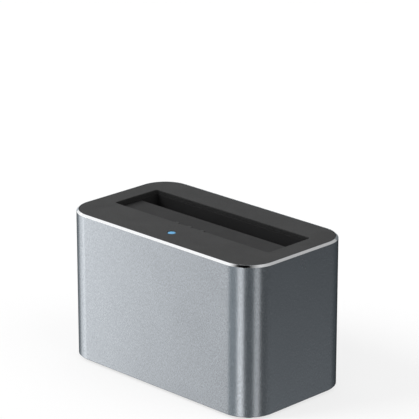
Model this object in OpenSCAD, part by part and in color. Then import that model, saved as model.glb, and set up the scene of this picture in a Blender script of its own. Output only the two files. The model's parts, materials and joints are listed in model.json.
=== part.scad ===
// Single-bay hard drive docking station.
// Millimetres. X runs along the dock's length, Y to its rear, Z up.
// The origin is on the table, under the middle of the housing.

/* [Housing] */
// Length of the aluminium sleeve, along X
body_w = 128; // [124:0.5:140]
// Depth of the sleeve, along Y
body_d = 70.5; // [69:0.5:80]
// Height of the sleeve
sleeve_h = 76.3; // [74:0.1:90]
// Outer radius of the sleeve's upright corners
corner_r = 15.5; // [13:0.5:18]
// Wall of the sleeve
sleeve_wall = 2.6; // [2.3:0.1:3]
// Wall left beside the rebates that take the cover and the base
rim_wall = 1.25; // [1.1:0.05:1.8]
// Bright-cut chamfer round the top edge
rim_chamfer = 1; // [0.6:0.05:1.05]
// Broken edge round the bottom
sole_chamfer = 0.4; // [0.2:0.1:1]
// Depth of the rebate for the top cover
cover_t = 2.6; // [2.2:0.1:4]
// Depth of the rebate for the base plate
base_t = 2.6; // [2.2:0.1:4]
// How far cover and base lie inside the sleeve's ends
plate_sink = 0.05; // [0.05:0.05:0.4]
// Gap between a plate and its rebate
plate_gap = 0.15; // [0.05:0.05:0.3]

/* [Drive slot] */
// Width of the drive that the slot takes
drive_w = 101.6; // [99:0.1:103]
// Thickness of that drive
drive_t = 26.1; // [24:0.1:26.6]
// Room beside the drive at each end of the slot
slot_gap_x = 1.7; // [0.8:0.1:2.4]
// Room in front of the drive and behind it
slot_gap_y = 1.45; // [0.8:0.05:1.7]
// Distance of the slot's centre behind the housing's centre
slot_shift = 3.6; // [2:0.1:4]
// Radius of the slot's corners
slot_r = 1.2; // [0.5:0.1:2]
// Depth of the well under the cover's top face
well_depth = 48.7; // [44:0.1:50]
// Wall of the well
well_wall = 1.8; // [1.4:0.1:2]
// Floor of the well
floor_t = 2; // [1.6:0.1:3]
// Radius of the ribs on the slot's front edge
rib_r = 1.4; // [0.6:0.1:1.8]
// Distance between those ribs
rib_pitch = 8.6; // [6:0.1:12]
// Number of those ribs
rib_count = 3; // [1:1:5]

/* [Dust flap] */
// Thickness of the flap
flap_t = 1.8; // [1.4:0.1:2]
// Mouth left open behind the flap for small drives
mouth_d = 11; // [9:0.5:13]
// Diameter of the hinge pin
pin_d = 2; // [1.6:0.1:2.2]
// Wall of the flap's knuckle round the pin
knuckle_wall = 1.15; // [1:0.05:1.4]
// Radial clearance of the pin in its holes
pin_gap = 0.05; // [0.02:0.01:0.08]
// Room between the flap and what it passes
flap_gap = 0.3; // [0.3:0.05:0.5]
// Room between the flap's ends and the well
flap_end_gap = 0.5; // [0.4:0.1:1]
// Width of the bearing blocks at the ends of the pin
bearing_w = 6; // [5:0.5:8]
// Room at each end of the hinge pin
pin_end_gap = 0.2; // [0.1:0.05:0.4]
// Wire of the torsion springs
spring_wire = 0.6; // [0.5:0.05:0.7]
// Room between a torsion spring and the pin
spring_gap = 0.3; // [0.2:0.05:0.4]
// Full turns of each torsion spring
spring_turns = 5; // [3:1:6]
// Room between neighbouring turns
turn_gap = 0.45; // [0.42:0.01:0.6]
// Distance of each torsion spring from the middle of the flap
spring_x = 30; // [20:1:38]
// Length of a torsion spring's legs
leg_l = 9; // [6:0.5:12]

/* [Status light] */
// Diameter of the light window
light_d = 4; // [3:0.1:5]
// Distance of the light from the sleeve's front face
light_inset = 12.3; // [10:0.05:13.5]
// Gap round the light pipe in the cover
light_gap = 0.1; // [0.05:0.05:0.3]
// Width of the light pipe's flange under the cover
light_lip = 1; // [0.6:0.1:1.5]
// Diameter of the light pipe's stem
light_stem_d = 3; // [2.5:0.1:4]

/* [Board] */
// Thickness of the circuit board
board_t = 1.6; // [1.2:0.1:2]
// Distance of the board under the well's floor
board_drop = 2.5; // [2.3:0.1:3.5]
// Room round the board's edges
board_gap = 1.6; // [0.8:0.1:2.4]
// Diameter of the bosses that carry the board
board_boss_d = 5.4; // [4.6:0.1:6]

/* [Drive connector] */
// Distance of the connector's centre from the slot's centre, along X
sata_x = 20.7; // [18:0.1:24]
// Distance of the connector's centre from the drive's rear face
sata_inset = 3.5; // [3:0.1:4]
// Length of the connector
sata_l = 40; // [39:0.5:44]
// Thickness of the connector
sata_t = 5.6; // [5.2:0.1:6]
// Height of the connector above the well's floor
sata_rise = 4.4; // [3:0.1:6]
// Pitch of its contacts
sata_pitch = 1.27; // [1.2:0.01:1.27]
// Width of its two slots
sata_slot_t = 2.4; // [2:0.1:2.6]

/* [Rear ports] */
// Room between a port and the wall or well beside it
port_gap = 0.3; // [0.2:0.05:0.5]
// How far the ports lie inside the sleeve's rear face
port_sink = 0.7; // [0.4:0.1:1.2]
// Height of the port centres above the board
port_rise = 6.5; // [6:0.1:7.5]
// Distance of the USB inlet to the left of the housing's centre
usb_left = 4; // [-6:0.5:10]
// Width of the USB inlet
usb_w = 12; // [11.6:0.1:13]
// Height of the USB inlet
usb_h = 12.6; // [12.4:0.1:13.5]
// Sheet thickness of its shell
usb_wall = 0.4; // [0.3:0.05:0.6]
// Depth of its cavity
usb_cavity = 9; // [8:0.1:10]
// Distance of the power inlet to the right of the housing's centre
jack_x = 27; // [20:0.5:34]
// Width of the power inlet's body
jack_w = 9.4; // [9:0.1:11]
// Height of the power inlet's body
jack_h = 11; // [10.8:0.1:12]
// Diameter of its nose in the rear wall
jack_nose_d = 8.4; // [8:0.1:8.8]
// Diameter of its bore
jack_bore_d = 6.4; // [6:0.1:6.6]
// Depth of its bore
jack_bore_l = 10; // [9:0.1:11]
// Diameter of its centre pin
jack_pin_d = 2.1; // [2:0.1:2.5]

/* [Power button] */
// Distance of the button to the left of the housing's centre
button_left = 32; // [24:0.5:38]
// Diameter of the button
button_d = 8; // [7:0.1:9]
// How far the button stands out of the rear face
button_proud = 1.2; // [0.8:0.1:1.4]
// Travel of the button
button_travel = 1.2; // [0.8:0.1:1.2]
// Width of the switch body
switch_w = 8.5; // [7.5:0.1:10]
// Height of the switch body
switch_h = 10.4; // [10:0.1:12]
// Depth of the switch body
switch_l = 3.6; // [3.2:0.1:4]
// Width of the square plunger
plunger_w = 3; // [2.5:0.1:3.2]
// Length of the button's spring at rest
coil_l = 3.8; // [3.6:0.1:4.2]
// Wire of the button's spring
coil_wire = 0.4; // [0.35:0.05:0.5]
// Full turns of the button's spring
coil_turns = 3; // [2:1:4]

/* [Feet and fasteners] */
// Height of the rubber feet under the sleeve
foot_proud = 1.5; // [1:0.1:3]
// Diameter of the feet
foot_d = 9.5; // [8:0.1:10]
// Depth of the recesses that the feet are glued into
foot_sink = 0.8; // [0.6:0.1:1]
// Diameter of the posts under the cover
post_d = 7; // [6:0.1:7.5]
// Room between a post and the sleeve's round corner
post_gap = 1.6; // [1.2:0.1:2]
// Height of the screw towers on the base plate
tower_h = 30; // [27:0.5:36]
// Thickness under a housing screw's head
tower_roof = 3; // [2.4:0.1:4]
// Wall of a screw tower
tower_wall = 1.2; // [1:0.1:1.3]
// Shank of the housing screws
case_screw_d = 2.9; // [2.5:0.1:3]
// Head of the housing screws
case_head_d = 5.5; // [5:0.1:5.6]
// Length of the housing screws
case_screw_l = 12; // [10:0.5:14]
// Shank of the small screws
small_screw_d = 2; // [1.8:0.1:2.2]
// Head of the small screws
small_head_d = 3.8; // [3.4:0.1:4.2]
// Radial room round a shank in its hole
shank_gap = 0.05; // [0.05:0.05:0.15]
// Depth of the bosses that carry the cradle's ears
ear_drop = 5; // [4:0.1:7]
// Thickness of the cradle's ears
ear_t = 2.4; // [2:0.1:3]

/* [Hidden] */

// Overlap that lets a cut pass clean through a face
cut = 1;
$fn = 48;

// Levels
z_sole = foot_proud;
z_rim = z_sole + sleeve_h;
z_ledge = z_rim - cover_t;
z_cover = z_rim - plate_sink;
z_plate_mid = (z_ledge + z_cover) / 2;
z_base = z_sole + plate_sink;
z_deck = z_sole + base_t;
z_floor = z_cover - well_depth;
z_floor_under = z_floor - floor_t;
z_board = z_floor_under - board_drop;
z_board_under = z_board - board_t;
z_port = z_board + port_rise;

// Inside of the sleeve and of its rebates
inner_w = body_w - 2 * sleeve_wall;
inner_d = body_d - 2 * sleeve_wall;
inner_r = corner_r - sleeve_wall;
plate_inset = rim_wall + plate_gap;
plate_w = body_w - 2 * plate_inset;
plate_d = body_d - 2 * plate_inset;
plate_r = corner_r - plate_inset;

// Slot and well
slot_w = drive_w + 2 * slot_gap_x;
slot_d = drive_t + 2 * slot_gap_y;
slot_front = slot_shift - slot_d / 2;
slot_back = slot_shift + slot_d / 2;
well_back = slot_back + well_wall;
well_w = slot_w + 2 * well_wall;

// Flap, its hinge line and the bay that it swings into
knuckle_r = pin_d / 2 + pin_gap + knuckle_wall;
bearing_r = knuckle_r + flap_gap;
hinge_y = slot_front - knuckle_r - flap_gap;
z_flap = z_ledge - flap_gap;
hinge_z = z_flap - knuckle_r;
flap_back = slot_back - mouth_d;
flap_reach = flap_back - hinge_y;
flap_w = slot_w - 2 * flap_end_gap;
bay_w = slot_w - 2 * bearing_w;
hinge_w = bay_w - 2 * flap_end_gap;
bay_front = hinge_y - bearing_r;
bay_z = hinge_z - flap_reach - knuckle_r;
wing_y = hinge_y + bearing_r + 2 * flap_gap;
pin_l = slot_w + well_wall - 2 * pin_end_gap;

// Torsion springs
spring_r = pin_d / 2 + spring_gap + spring_wire / 2;
spring_pitch = spring_wire + turn_gap;
spring_l = spring_turns * spring_pitch + spring_pitch / 4;
spring_room = spring_l + 2 * spring_wire;

// Posts, towers and feet stand on the same four places
post_reach = (inner_r - post_d / 2 - post_gap) / sqrt(2);
post_x = body_w / 2 - corner_r + post_reach;
post_y = body_d / 2 - corner_r + post_reach;
case_head_gap = 0.15;
head_bore_d = case_head_d + 2 * case_head_gap;
tower_d = head_bore_d + 2 * tower_wall;
z_split = z_deck + tower_h;
z_case_seat = z_split - tower_roof;
case_head_h = 2;
case_bore_l = case_screw_l - tower_roof + cut;

// Ears that hang the cradle under the cover
ear_in = 14;
ear_x = slot_w / 2 - ear_in;
ear_reach = 8;
ear_hole_in = 4.2;
ear_w = 8;
ear_z = z_ledge - ear_drop;
ear_front_y = bay_front - well_wall - ear_hole_in;
ear_back_y = well_back + ear_hole_in;
ear_boss_d = 5.6;
small_head_h = 1.6;
small_bore_l = 4;

// Board, whose screws stand just outside the ends of the drive connector
sata_room = 0.4;
board_hole_in = 4;
board_hole_x = sata_x + sata_l / 2 + 2 * sata_room + board_boss_d / 2;
board_w = 2 * (board_hole_x + board_hole_in);
board_back = inner_d / 2 - board_gap;
board_front = -inner_d / 2 + board_gap;
board_hole_front = slot_front + board_hole_in;
board_hole_back = slot_back - board_hole_in;
board_bore_l = board_drop + floor_t / 2;

// Status light
light_y = -body_d / 2 + light_inset;
led_size = [3.2, 1.6, 1.1];
led_gap = 0.3;
light_lip_t = 1.2;

// Drive connector
sata_y = slot_back - slot_gap_y - sata_inset;
sata_h = z_floor + sata_rise - z_board;
data_count = 7;
power_count = 15;
contact_w = 0.7;
contact_t = 0.3;
slot_end = 1.5;
data_l = data_count * sata_pitch + slot_end;
power_l = power_count * sata_pitch + slot_end;
sata_web = 2.4;
sata_slot_depth = 6;
sata_run = data_l + sata_web + power_l;
key_l = 1.3;
key_t = 1;
data_x = sata_x - sata_run / 2 + data_l / 2;
power_x = sata_x + sata_run / 2 - power_l / 2;

// Rear ports
inner_back = inner_d / 2;
port_front = well_back + port_gap;
port_back = body_d / 2 - port_sink;
port_shoulder = inner_back - port_gap;
usb_x = -usb_left;
z_usb = z_board + usb_h / 2;
usb_in_w = usb_w - 2 * usb_wall;
usb_in_h = usb_h - 2 * usb_wall;
usb_lip = 0.6;
tongue_l = usb_cavity - 1;
low_tongue = [5.6, 3.2, -2.2];
high_tongue = [4.4, 1.1, 3.4];
usb_strip_t = 0.2;
usb_strip_w = 0.6;
jack_pin_gap = 0.03;
jack_pin_l = jack_bore_l - 1;
leaf_w = 2;
leaf_t = 0.4;
leaf_l = 7;

// Power button, with its switch behind it
button_x = -button_left;
button_flange_t = 1;
button_flange = 0.8;
button_end = body_d / 2 + button_proud;
button_flange_y = port_shoulder - button_flange_t;
button_socket = 3;
button_edge = 0.6;
plunger_gap = 0.1;
plunger_in = 1.6;
plunger_end = button_flange_y + button_socket;
switch_back = button_flange_y - coil_l - 2 * plunger_gap;
coil_r = plunger_w * 0.75 + coil_wire / 2 + port_gap;
coil_pitch = (coil_l - coil_wire) / coil_turns;

// Parts on the board
bridge_left = 14;
bridge_at = [-bridge_left, slot_shift];
bridge_size = [9, 9, 1.4];
memory_left = 30;
memory_at = [-memory_left, slot_shift];
memory_size = [5, 4, 1.5];
crystal_front = 10.5;
crystal_at = [-bridge_left, slot_shift - crystal_front];
crystal_size = [3.2, 2.5, 0.9];
inductor_size = [7, 7, 4];
inductor_at = [16, 28];
regulator_size = [5, 4, 1.5];
can_d = 6.3;
can_h = 7.7;
can_base_h = 1;
can_left = [36, 26];
front_row_y = (board_front + slot_front - well_wall) / 2;
regulator_y = slot_front + regulator_size[1];
lead_w = 0.4;
lead_t = 0.25;
lead_l = 1;
passive_size = [1.6, 0.8, 0.6];
passive_pitch = 3.2;
passive_front = 7.5;
passive_back = 8.5;
passive_rows = [slot_shift - passive_front, slot_shift + passive_back];
passive_left = 38;
passive_count = 8;

// Plain shapes

module rounded_rect(w, d, r) {
  square([w - 2 * r, d], center = true);
  square([w, d - 2 * r], center = true);
  for (x = [-1, 1], y = [-1, 1])
    translate([x * (w / 2 - r), y * (d / 2 - r)]) circle(r);
}

module rounded_slab(w, d, h, r) {
  linear_extrude(h) rounded_rect(w, d, r);
}

// Slab that narrows by its own height towards the top, with round corners
module bevel_slab(w, d, h, r) {
  for (x = [-1, 1], y = [-1, 1])
    translate([x * (w / 2 - r), y * (d / 2 - r), 0]) cylinder(h = h, r1 = r, r2 = r - h);
  bevel_bar(w - 2 * r, d, h);
  rotate(90) bevel_bar(d - 2 * r, w, h);
}

module bevel_bar(l, width, h) {
  rotate([90, 0, 90])
    linear_extrude(l, center = true)
      polygon([[-width / 2, 0], [width / 2, 0], [width / 2 - h, h], [h - width / 2, h]]);
}

// Box centred in X and Y that stands on z = 0
module block(size) {
  translate([-size[0] / 2, -size[1] / 2, 0]) cube(size);
}

// Prism along X whose outline is drawn in Y and Z
module bar_x(l) {
  rotate([90, 0, 90]) linear_extrude(l, center = true) children();
}

// Prism along Y from y0 to y1 whose outline is drawn in X and Z
module bar_y(y0, y1) {
  translate([0, y1, 0]) rotate([90, 0, 0]) linear_extrude(y1 - y0) children();
}

module rod_y(y0, y1, d) {
  bar_y(y0, y1) circle(d = d);
}

module at_posts() {
  for (x = [-1, 1], y = [-1, 1]) translate([x * post_x, y * post_y, 0]) children();
}

module at_ears() {
  for (x = [-1, 1], y = [ear_front_y, ear_back_y]) translate([x * ear_x, y, 0]) children();
}

module at_board_holes() {
  for (x = [-1, 1], y = [board_hole_front, board_hole_back])
    translate([x * board_hole_x, y, 0]) children();
}

// Cross-head screw with its head down: the seat is at z = 0 and the shank points up
module screw(shank_d, l, head_d, head_h) {
  recess_w = head_d / 6;
  difference() {
    translate([0, 0, -head_h]) cylinder(h = head_h, d = head_d);
    for (turn = [0, 90])
      rotate(turn) translate([0, 0, -head_h - cut]) block([head_d * 0.6, recess_w, head_h / 2 + cut]);
  }
  cylinder(h = l, d = shank_d);
}

// Wire swept along a path, with rings of six sides that keep clear of the given axis
module wire(path, d, axis) {
  sides = 6;
  last = len(path) - 1;
  function unit(v) = v / norm(v);
  function along(i) = unit(path[min(i + 1, last)] - path[max(i - 1, 0)]);
  function ring(i) = let (u = unit(cross(along(i), axis)), v = cross(along(i), u))
    [for (k = [0:sides - 1]) path[i] + d / 2 * (cos(360 * k / sides) * u + sin(360 * k / sides) * v)];
  points = [for (i = [0:last]) each ring(i)];
  skin = [
    for (i = [0:last - 1], k = [0:sides - 1])
      let (a = i * sides + k, b = i * sides + (k + 1) % sides)
        each [[a, b, b + sides], [a, b + sides, a + sides]]
  ];
  caps = [
    for (k = [1:sides - 2])
      each [[0, k + 1, k], [last * sides, last * sides + k, last * sides + k + 1]]
  ];
  polyhedron(points, concat(skin, caps));
}

// Least gap between stretches of a wire that lie at least half a turn apart
function self_gap(path, d, apart) = min([
  for (i = [0:len(path) - 1], j = [i + apart:1:len(path) - 1]) norm(path[i] - path[j])
]) - d;

// Housing

module sleeve() {
  color("slategray") difference() {
    union() {
      translate([0, 0, z_sole + sole_chamfer])
        rounded_slab(body_w, body_d, sleeve_h - sole_chamfer - rim_chamfer, corner_r);
      translate([0, 0, z_rim - rim_chamfer]) bevel_slab(body_w, body_d, rim_chamfer, corner_r);
      translate([0, 0, z_sole + sole_chamfer])
        mirror([0, 0, 1]) bevel_slab(body_w, body_d, sole_chamfer, corner_r);
    }
    translate([0, 0, z_sole - cut]) rounded_slab(inner_w, inner_d, sleeve_h + 2 * cut, inner_r);
    translate([0, 0, z_ledge]) plate_rebate(cover_t + cut);
    translate([0, 0, z_sole - cut]) plate_rebate(base_t + cut);
    translate([usb_x, 0, z_usb])
      bar_y(inner_back - cut, body_d / 2 + cut)
        square([usb_w + 2 * port_gap, usb_h + 2 * port_gap], center = true);
    translate([jack_x, 0, z_port])
      rod_y(inner_back - cut, body_d / 2 + cut, jack_nose_d + 2 * port_gap);
    translate([button_x, 0, z_port])
      rod_y(inner_back - cut, body_d / 2 + cut, button_d + 2 * port_gap);
  }
}

// Room for the cover or the base in one end of the sleeve
module plate_rebate(h) {
  rounded_slab(body_w - 2 * rim_wall, body_d - 2 * rim_wall, h, corner_r - rim_wall);
}

module top_cover() {
  rib_span = (rib_count - 1) * rib_pitch;
  color("dimgray") {
    difference() {
      union() {
        difference() {
          translate([0, 0, z_ledge]) rounded_slab(plate_w, plate_d, z_cover - z_ledge, plate_r);
          translate([0, slot_shift, z_ledge - cut])
            rounded_slab(slot_w, slot_d, cover_t + 2 * cut, slot_r);
          translate([0, light_y, z_ledge - cut])
            cylinder(h = cover_t + 2 * cut, d = light_d + 2 * light_gap);
        }
        for (i = [0:rib_count - 1])
          translate([i * rib_pitch - rib_span / 2, slot_front, z_ledge])
            cylinder(h = z_cover - z_ledge, r = rib_r);
        at_posts() translate([0, 0, z_split]) cylinder(h = z_plate_mid - z_split, d = post_d);
        at_ears() translate([0, 0, ear_z]) cylinder(h = z_plate_mid - ear_z, d = ear_boss_d);
      }
      at_posts() translate([0, 0, z_split - cut])
        cylinder(h = case_bore_l + cut, d = case_screw_d + 2 * shank_gap);
      at_ears() translate([0, 0, ear_z - cut])
        cylinder(h = small_bore_l + cut, d = small_screw_d + 2 * shank_gap);
    }
  }
}

module base_plate() {
  recess_gap = shank_gap;
  color("dimgray") difference() {
    union() {
      translate([0, 0, z_base]) rounded_slab(plate_w, plate_d, z_deck - z_base, plate_r);
      at_posts() translate([0, 0, z_base]) cylinder(h = z_split - z_base, d = tower_d);
    }
    at_posts() {
      translate([0, 0, z_base - cut]) cylinder(h = foot_sink + cut, d = foot_d + 2 * recess_gap);
      translate([0, 0, z_base - cut]) cylinder(h = z_case_seat - z_base + cut, d = head_bore_d);
      translate([0, 0, z_base]) cylinder(h = z_split - z_base + cut, d = case_screw_d + 2 * shank_gap);
    }
  }
}

module rubber_feet() {
  edge = foot_proud / 3;
  foot_h = foot_sink + plate_sink + foot_proud;
  color("black") at_posts() {
    translate([0, 0, edge]) cylinder(h = foot_h - edge, d = foot_d);
    cylinder(h = edge, d1 = foot_d - 2 * edge, d2 = foot_d);
  }
}

module base_screws() {
  color("silver") at_posts() translate([0, 0, z_case_seat])
    screw(case_screw_d, case_screw_l, case_head_d, case_head_h);
}

// Drive well, flap and hinge

module drive_cradle() {
  upper_d = well_back - bay_front + well_wall;
  color("black") difference() {
    union() {
      difference() {
        union() {
          translate([-well_w / 2, slot_front - well_wall, z_floor_under])
            cube([well_w, well_back - slot_front + well_wall, z_ledge - z_floor_under]);
          translate([-well_w / 2, bay_front - well_wall, bay_z - well_wall])
            cube([well_w, upper_d, z_ledge - bay_z + well_wall]);
          cradle_ears();
        }
        translate([-slot_w / 2, slot_front, z_floor]) cube([slot_w, slot_d, z_ledge - z_floor + cut]);
        translate([-slot_w / 2, bay_front, bay_z])
          cube([slot_w, slot_back - bay_front, z_ledge - bay_z + cut]);
        translate([sata_x, sata_y, z_floor_under - cut])
          block([sata_l + 2 * sata_room, sata_t + 2 * sata_room, floor_t + 2 * cut]);
      }
      bearing_blocks();
      at_board_holes() translate([0, 0, z_board]) cylinder(h = board_drop + floor_t / 2, d = board_boss_d);
    }
    at_board_holes() translate([0, 0, z_board - cut])
      cylinder(h = board_bore_l + cut, d = small_screw_d + 2 * shank_gap);
    at_ears() translate([0, 0, ear_z - ear_t - cut])
      cylinder(h = ear_t + 2 * cut, d = small_screw_d + 4 * shank_gap);
    translate([-slot_w / 2, hinge_y, hinge_z])
      rotate([0, 90, 0]) cylinder(h = slot_w + well_wall + cut, d = pin_d + 2 * pin_gap);
  }
}

module cradle_ears() {
  for (x = [-1, 1]) translate([x * ear_x - ear_w / 2, 0, ear_z - ear_t]) {
    translate([0, bay_front - well_wall - ear_reach, 0]) cube([ear_w, ear_reach + well_wall / 2, ear_t]);
    translate([0, well_back - well_wall / 2, 0]) cube([ear_w, ear_reach + well_wall / 2, ear_t]);
  }
}

// Blocks at the ends of the bay that carry the hinge pin
module bearing_blocks() {
  for (x = [-1, 1]) translate([x * (slot_w - bearing_w) / 2, 0, 0]) bar_x(bearing_w) {
    translate([hinge_y, hinge_z]) circle(bearing_r);
    translate([bay_front, hinge_z - bearing_r]) square([bearing_r, z_ledge - hinge_z + bearing_r]);
    translate([bay_front, hinge_z]) square([2 * bearing_r, z_ledge - hinge_z]);
  }
}

module cradle_screws() {
  color("silver") at_ears() translate([0, 0, ear_z - ear_t])
    screw(small_screw_d, ear_t + small_bore_l - cut, small_head_d, small_head_h);
}

module dust_flap() {
  tip_r = flap_t / 2;
  spring_seat_w = 2.4;
  spring_seat_y = hinge_y + spring_r + spring_wire;
  color([0.16, 0.16, 0.17]) difference() {
    union() {
      bar_x(hinge_w) {
        translate([hinge_y, hinge_z]) circle(knuckle_r);
        translate([hinge_y, z_flap - flap_t]) square([flap_reach - tip_r, flap_t]);
      }
      bar_x(flap_w) {
        translate([wing_y, z_flap - flap_t]) square([flap_back - tip_r - wing_y, flap_t]);
        translate([flap_back - tip_r, z_flap - tip_r]) circle(tip_r);
      }
    }
    translate([0, hinge_y, hinge_z])
      rotate([0, 90, 0]) cylinder(h = slot_w, d = pin_d + 2 * pin_gap, center = true);
    for (x = [-1, 1]) translate([x * spring_x, hinge_y, hinge_z])
      spring_notch();
  }
  color([0.16, 0.16, 0.17])
    for (x = [-1, 1]) translate([x * spring_x - spring_l / 2 - spring_seat_w / 2, spring_seat_y, 0])
      spring_seat(spring_seat_w);
}

// Gap in the knuckle for one torsion spring
module spring_notch() {
  reach = spring_r + spring_wire;
  translate([-spring_room / 2, -2 * knuckle_r, -2 * knuckle_r])
    cube([spring_room, 2 * knuckle_r + reach, 4 * knuckle_r]);
}

// Rib under the flap that one leg of a spring pushes on
module spring_seat(w) {
  seat_z = hinge_z - spring_r + spring_wire / 2 + spring_gap / 3;
  translate([0, 0, seat_z]) cube([w, leg_l - spring_wire, z_flap - flap_t / 2 - seat_z]);
}

module flap_pin() {
  color("silver") translate([well_wall / 2, hinge_y, hinge_z])
    rotate([0, 90, 0]) cylinder(h = pin_l, d = pin_d, center = true);
}

// One torsion spring: a leg under the flap, the coil, and a leg down the bay's front wall
function torsion_path() =
  let (steps = 8, turns = spring_turns + 0.25)
  concat(
    [for (k = [0:3]) [-spring_l / 2, leg_l * (1 - k / 4), -spring_r]],
    [
      for (i = [0:steps * turns])
        [
          spring_l * (i / (steps * turns) - 0.5),
          -spring_r * sin(360 * i / steps),
          -spring_r * cos(360 * i / steps)
        ]
    ],
    [for (k = [1:4]) [spring_l / 2, -spring_r, -leg_l * k / 4]]
  );

module flap_springs() {
  path = torsion_path();
  echo(flap_spring_gap = self_gap(path, spring_wire, 7));
  color("silver") for (x = [-1, 1]) translate([x * spring_x, hinge_y, hinge_z])
    wire(path, spring_wire, [1, 0, 0]);
}

// Status light

module light_pipe() {
  stem_z = z_board + led_size[2] + led_gap;
  lip_z = z_ledge - light_lip_t;
  lip_mid = z_ledge - light_lip_t / 2;
  color("deepskyblue") translate([0, light_y, 0]) {
    translate([0, 0, lip_mid]) cylinder(h = z_cover - lip_mid, d = light_d);
    translate([0, 0, lip_z]) cylinder(h = light_lip_t, d = light_d + 2 * light_lip);
    translate([0, 0, stem_z]) cylinder(h = lip_mid - stem_z, d = light_stem_d);
  }
}

module status_led() {
  color("white") translate([0, light_y, z_board]) block(led_size);
}

// Board and its fasteners

// The corners keep clear of the screw towers
module main_board() {
  color("darkgreen") difference() {
    translate([-board_w / 2, board_front, z_board_under]) cube([board_w, board_back - board_front, board_t]);
    at_board_holes() translate([0, 0, z_board_under - cut])
      cylinder(h = board_t + 2 * cut, d = small_screw_d + 4 * shank_gap);
    at_posts() translate([0, 0, z_board_under - cut])
      cylinder(h = board_t + 2 * cut, d = tower_d + 2 * board_gap);
  }
}

module board_screws() {
  color("silver") at_board_holes() translate([0, 0, z_board_under])
    screw(small_screw_d, board_t + board_drop, small_head_d, small_head_h);
}

// Drive connector

// Keyed slot outline: a straight run with a short leg at one end
module sata_slot(l, key_side) {
  square([l, sata_slot_t], center = true);
  translate([key_side * (l - key_l) / 2, sata_slot_t / 2]) square([key_l, 2 * key_t], center = true);
}

module sata_receptacle() {
  slot_z = sata_h - sata_slot_depth;
  color([0.1, 0.1, 0.1]) translate([0, sata_y, z_board]) difference() {
    translate([sata_x, 0, 0]) block([sata_l, sata_t, sata_h]);
    translate([data_x, 0, slot_z]) linear_extrude(sata_slot_depth + cut) sata_slot(data_l, 1);
    translate([power_x, 0, slot_z]) linear_extrude(sata_slot_depth + cut) sata_slot(power_l, -1);
  }
}

module sata_contacts(x, count) {
  contact_h = sata_slot_depth - 1;
  color("gold") for (i = [0:count - 1])
    translate([x + (i - (count - 1) / 2) * sata_pitch, sata_y - sata_slot_t / 2 + contact_t / 2,
      z_board + sata_h - sata_slot_depth])
      block([contact_w, contact_t, contact_h]);
}

module sata_data_contacts() {
  sata_contacts(data_x, data_count);
}

module sata_power_contacts() {
  sata_contacts(power_x, power_count);
}

// USB inlet

module usb_shell() {
  color("silver") translate([usb_x, 0, z_usb]) difference() {
    bar_y(port_front, port_back) square([usb_w, usb_h], center = true);
    bar_y(port_front + usb_wall, port_back + cut) square([usb_in_w, usb_in_h], center = true);
  }
}

// Outline of the cavity: a wide part with cut corners under a narrow one
module usb_mouth() {
  wide = 4.25;
  narrow = 2.85;
  reach = 5.3;
  shoulder = 0.9;
  neck = 2.3;
  polygon([
    [-wide, -reach], [wide, -reach], [wide, shoulder], [narrow, neck],
    [narrow, reach], [-narrow, reach], [-narrow, neck], [-wide, shoulder]
  ]);
}

module usb_insert() {
  face = port_back - usb_lip;
  color("royalblue") translate([usb_x, 0, z_usb]) {
    difference() {
      bar_y(port_front + usb_wall, face) square([usb_in_w, usb_in_h], center = true);
      bar_y(face - usb_cavity, face + cut) usb_mouth();
    }
    for (t = [low_tongue, high_tongue])
      translate([0, 0, t[2]])
        bar_y(face - usb_cavity - cut, face - usb_cavity + tongue_l) square([t[0], t[1]], center = true);
  }
}

module usb_contacts() {
  y0 = port_back - usb_lip - usb_cavity;
  strip = [usb_strip_w, usb_strip_t];
  color("gold") translate([usb_x, 0, z_usb]) bar_y(y0, y0 + tongue_l - usb_strip_w) {
    for (x = [-1, 1], side = [-1, 1])
      translate([x * low_tongue[0] / 4, low_tongue[2] + side * (low_tongue[1] + usb_strip_t) / 2])
        square([2 * usb_strip_w, usb_strip_t], center = true);
    for (i = [-2:2])
      translate([i * high_tongue[0] / 5, high_tongue[2] - (high_tongue[1] + usb_strip_t) / 2])
        square(strip, center = true);
  }
}

// Power inlet

module dc_jack() {
  color([0.1, 0.1, 0.1]) translate([jack_x, 0, 0]) difference() {
    union() {
      translate([-jack_w / 2, port_front, z_board]) cube([jack_w, port_shoulder - port_front, jack_h]);
      translate([0, 0, z_port]) rod_y(port_shoulder - cut, port_back, jack_nose_d);
    }
    translate([0, 0, z_port]) rod_y(port_back - jack_bore_l, port_back + cut, jack_bore_d);
    translate([0, 0, z_port])
      rod_y(port_front - cut, port_back, jack_pin_d + 2 * jack_pin_gap);
  }
}

module dc_jack_pin() {
  y1 = port_back - jack_bore_l + jack_pin_l;
  color("silver") translate([jack_x, 0, z_port]) {
    rod_y(port_front, y1 - jack_pin_d / 2, jack_pin_d);
    translate([0, y1 - jack_pin_d / 2, 0]) sphere(d = jack_pin_d);
  }
}

module dc_jack_spring() {
  y0 = port_back - jack_bore_l;
  seat = sqrt(pow(jack_bore_d / 2, 2) - pow(leaf_w / 2, 2));
  color("silver") translate([jack_x, y0, z_port - seat])
    translate([-leaf_w / 2, 0, 0]) cube([leaf_w, leaf_l, leaf_t]);
}

// Power switch and its button

module power_switch() {
  well_w = plunger_w + 4 * plunger_gap;
  color([0.12, 0.12, 0.12]) translate([button_x, 0, 0]) difference() {
    translate([-switch_w / 2, switch_back - switch_l, z_board]) cube([switch_w, switch_l, switch_h]);
    translate([0, 0, z_port])
      bar_y(switch_back - plunger_in - button_travel - plunger_gap, switch_back + cut)
        square(well_w, center = true);
  }
}

module switch_plunger() {
  color("ivory") translate([button_x, 0, z_port])
    bar_y(switch_back - plunger_in, plunger_end) square(plunger_w, center = true);
}

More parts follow.
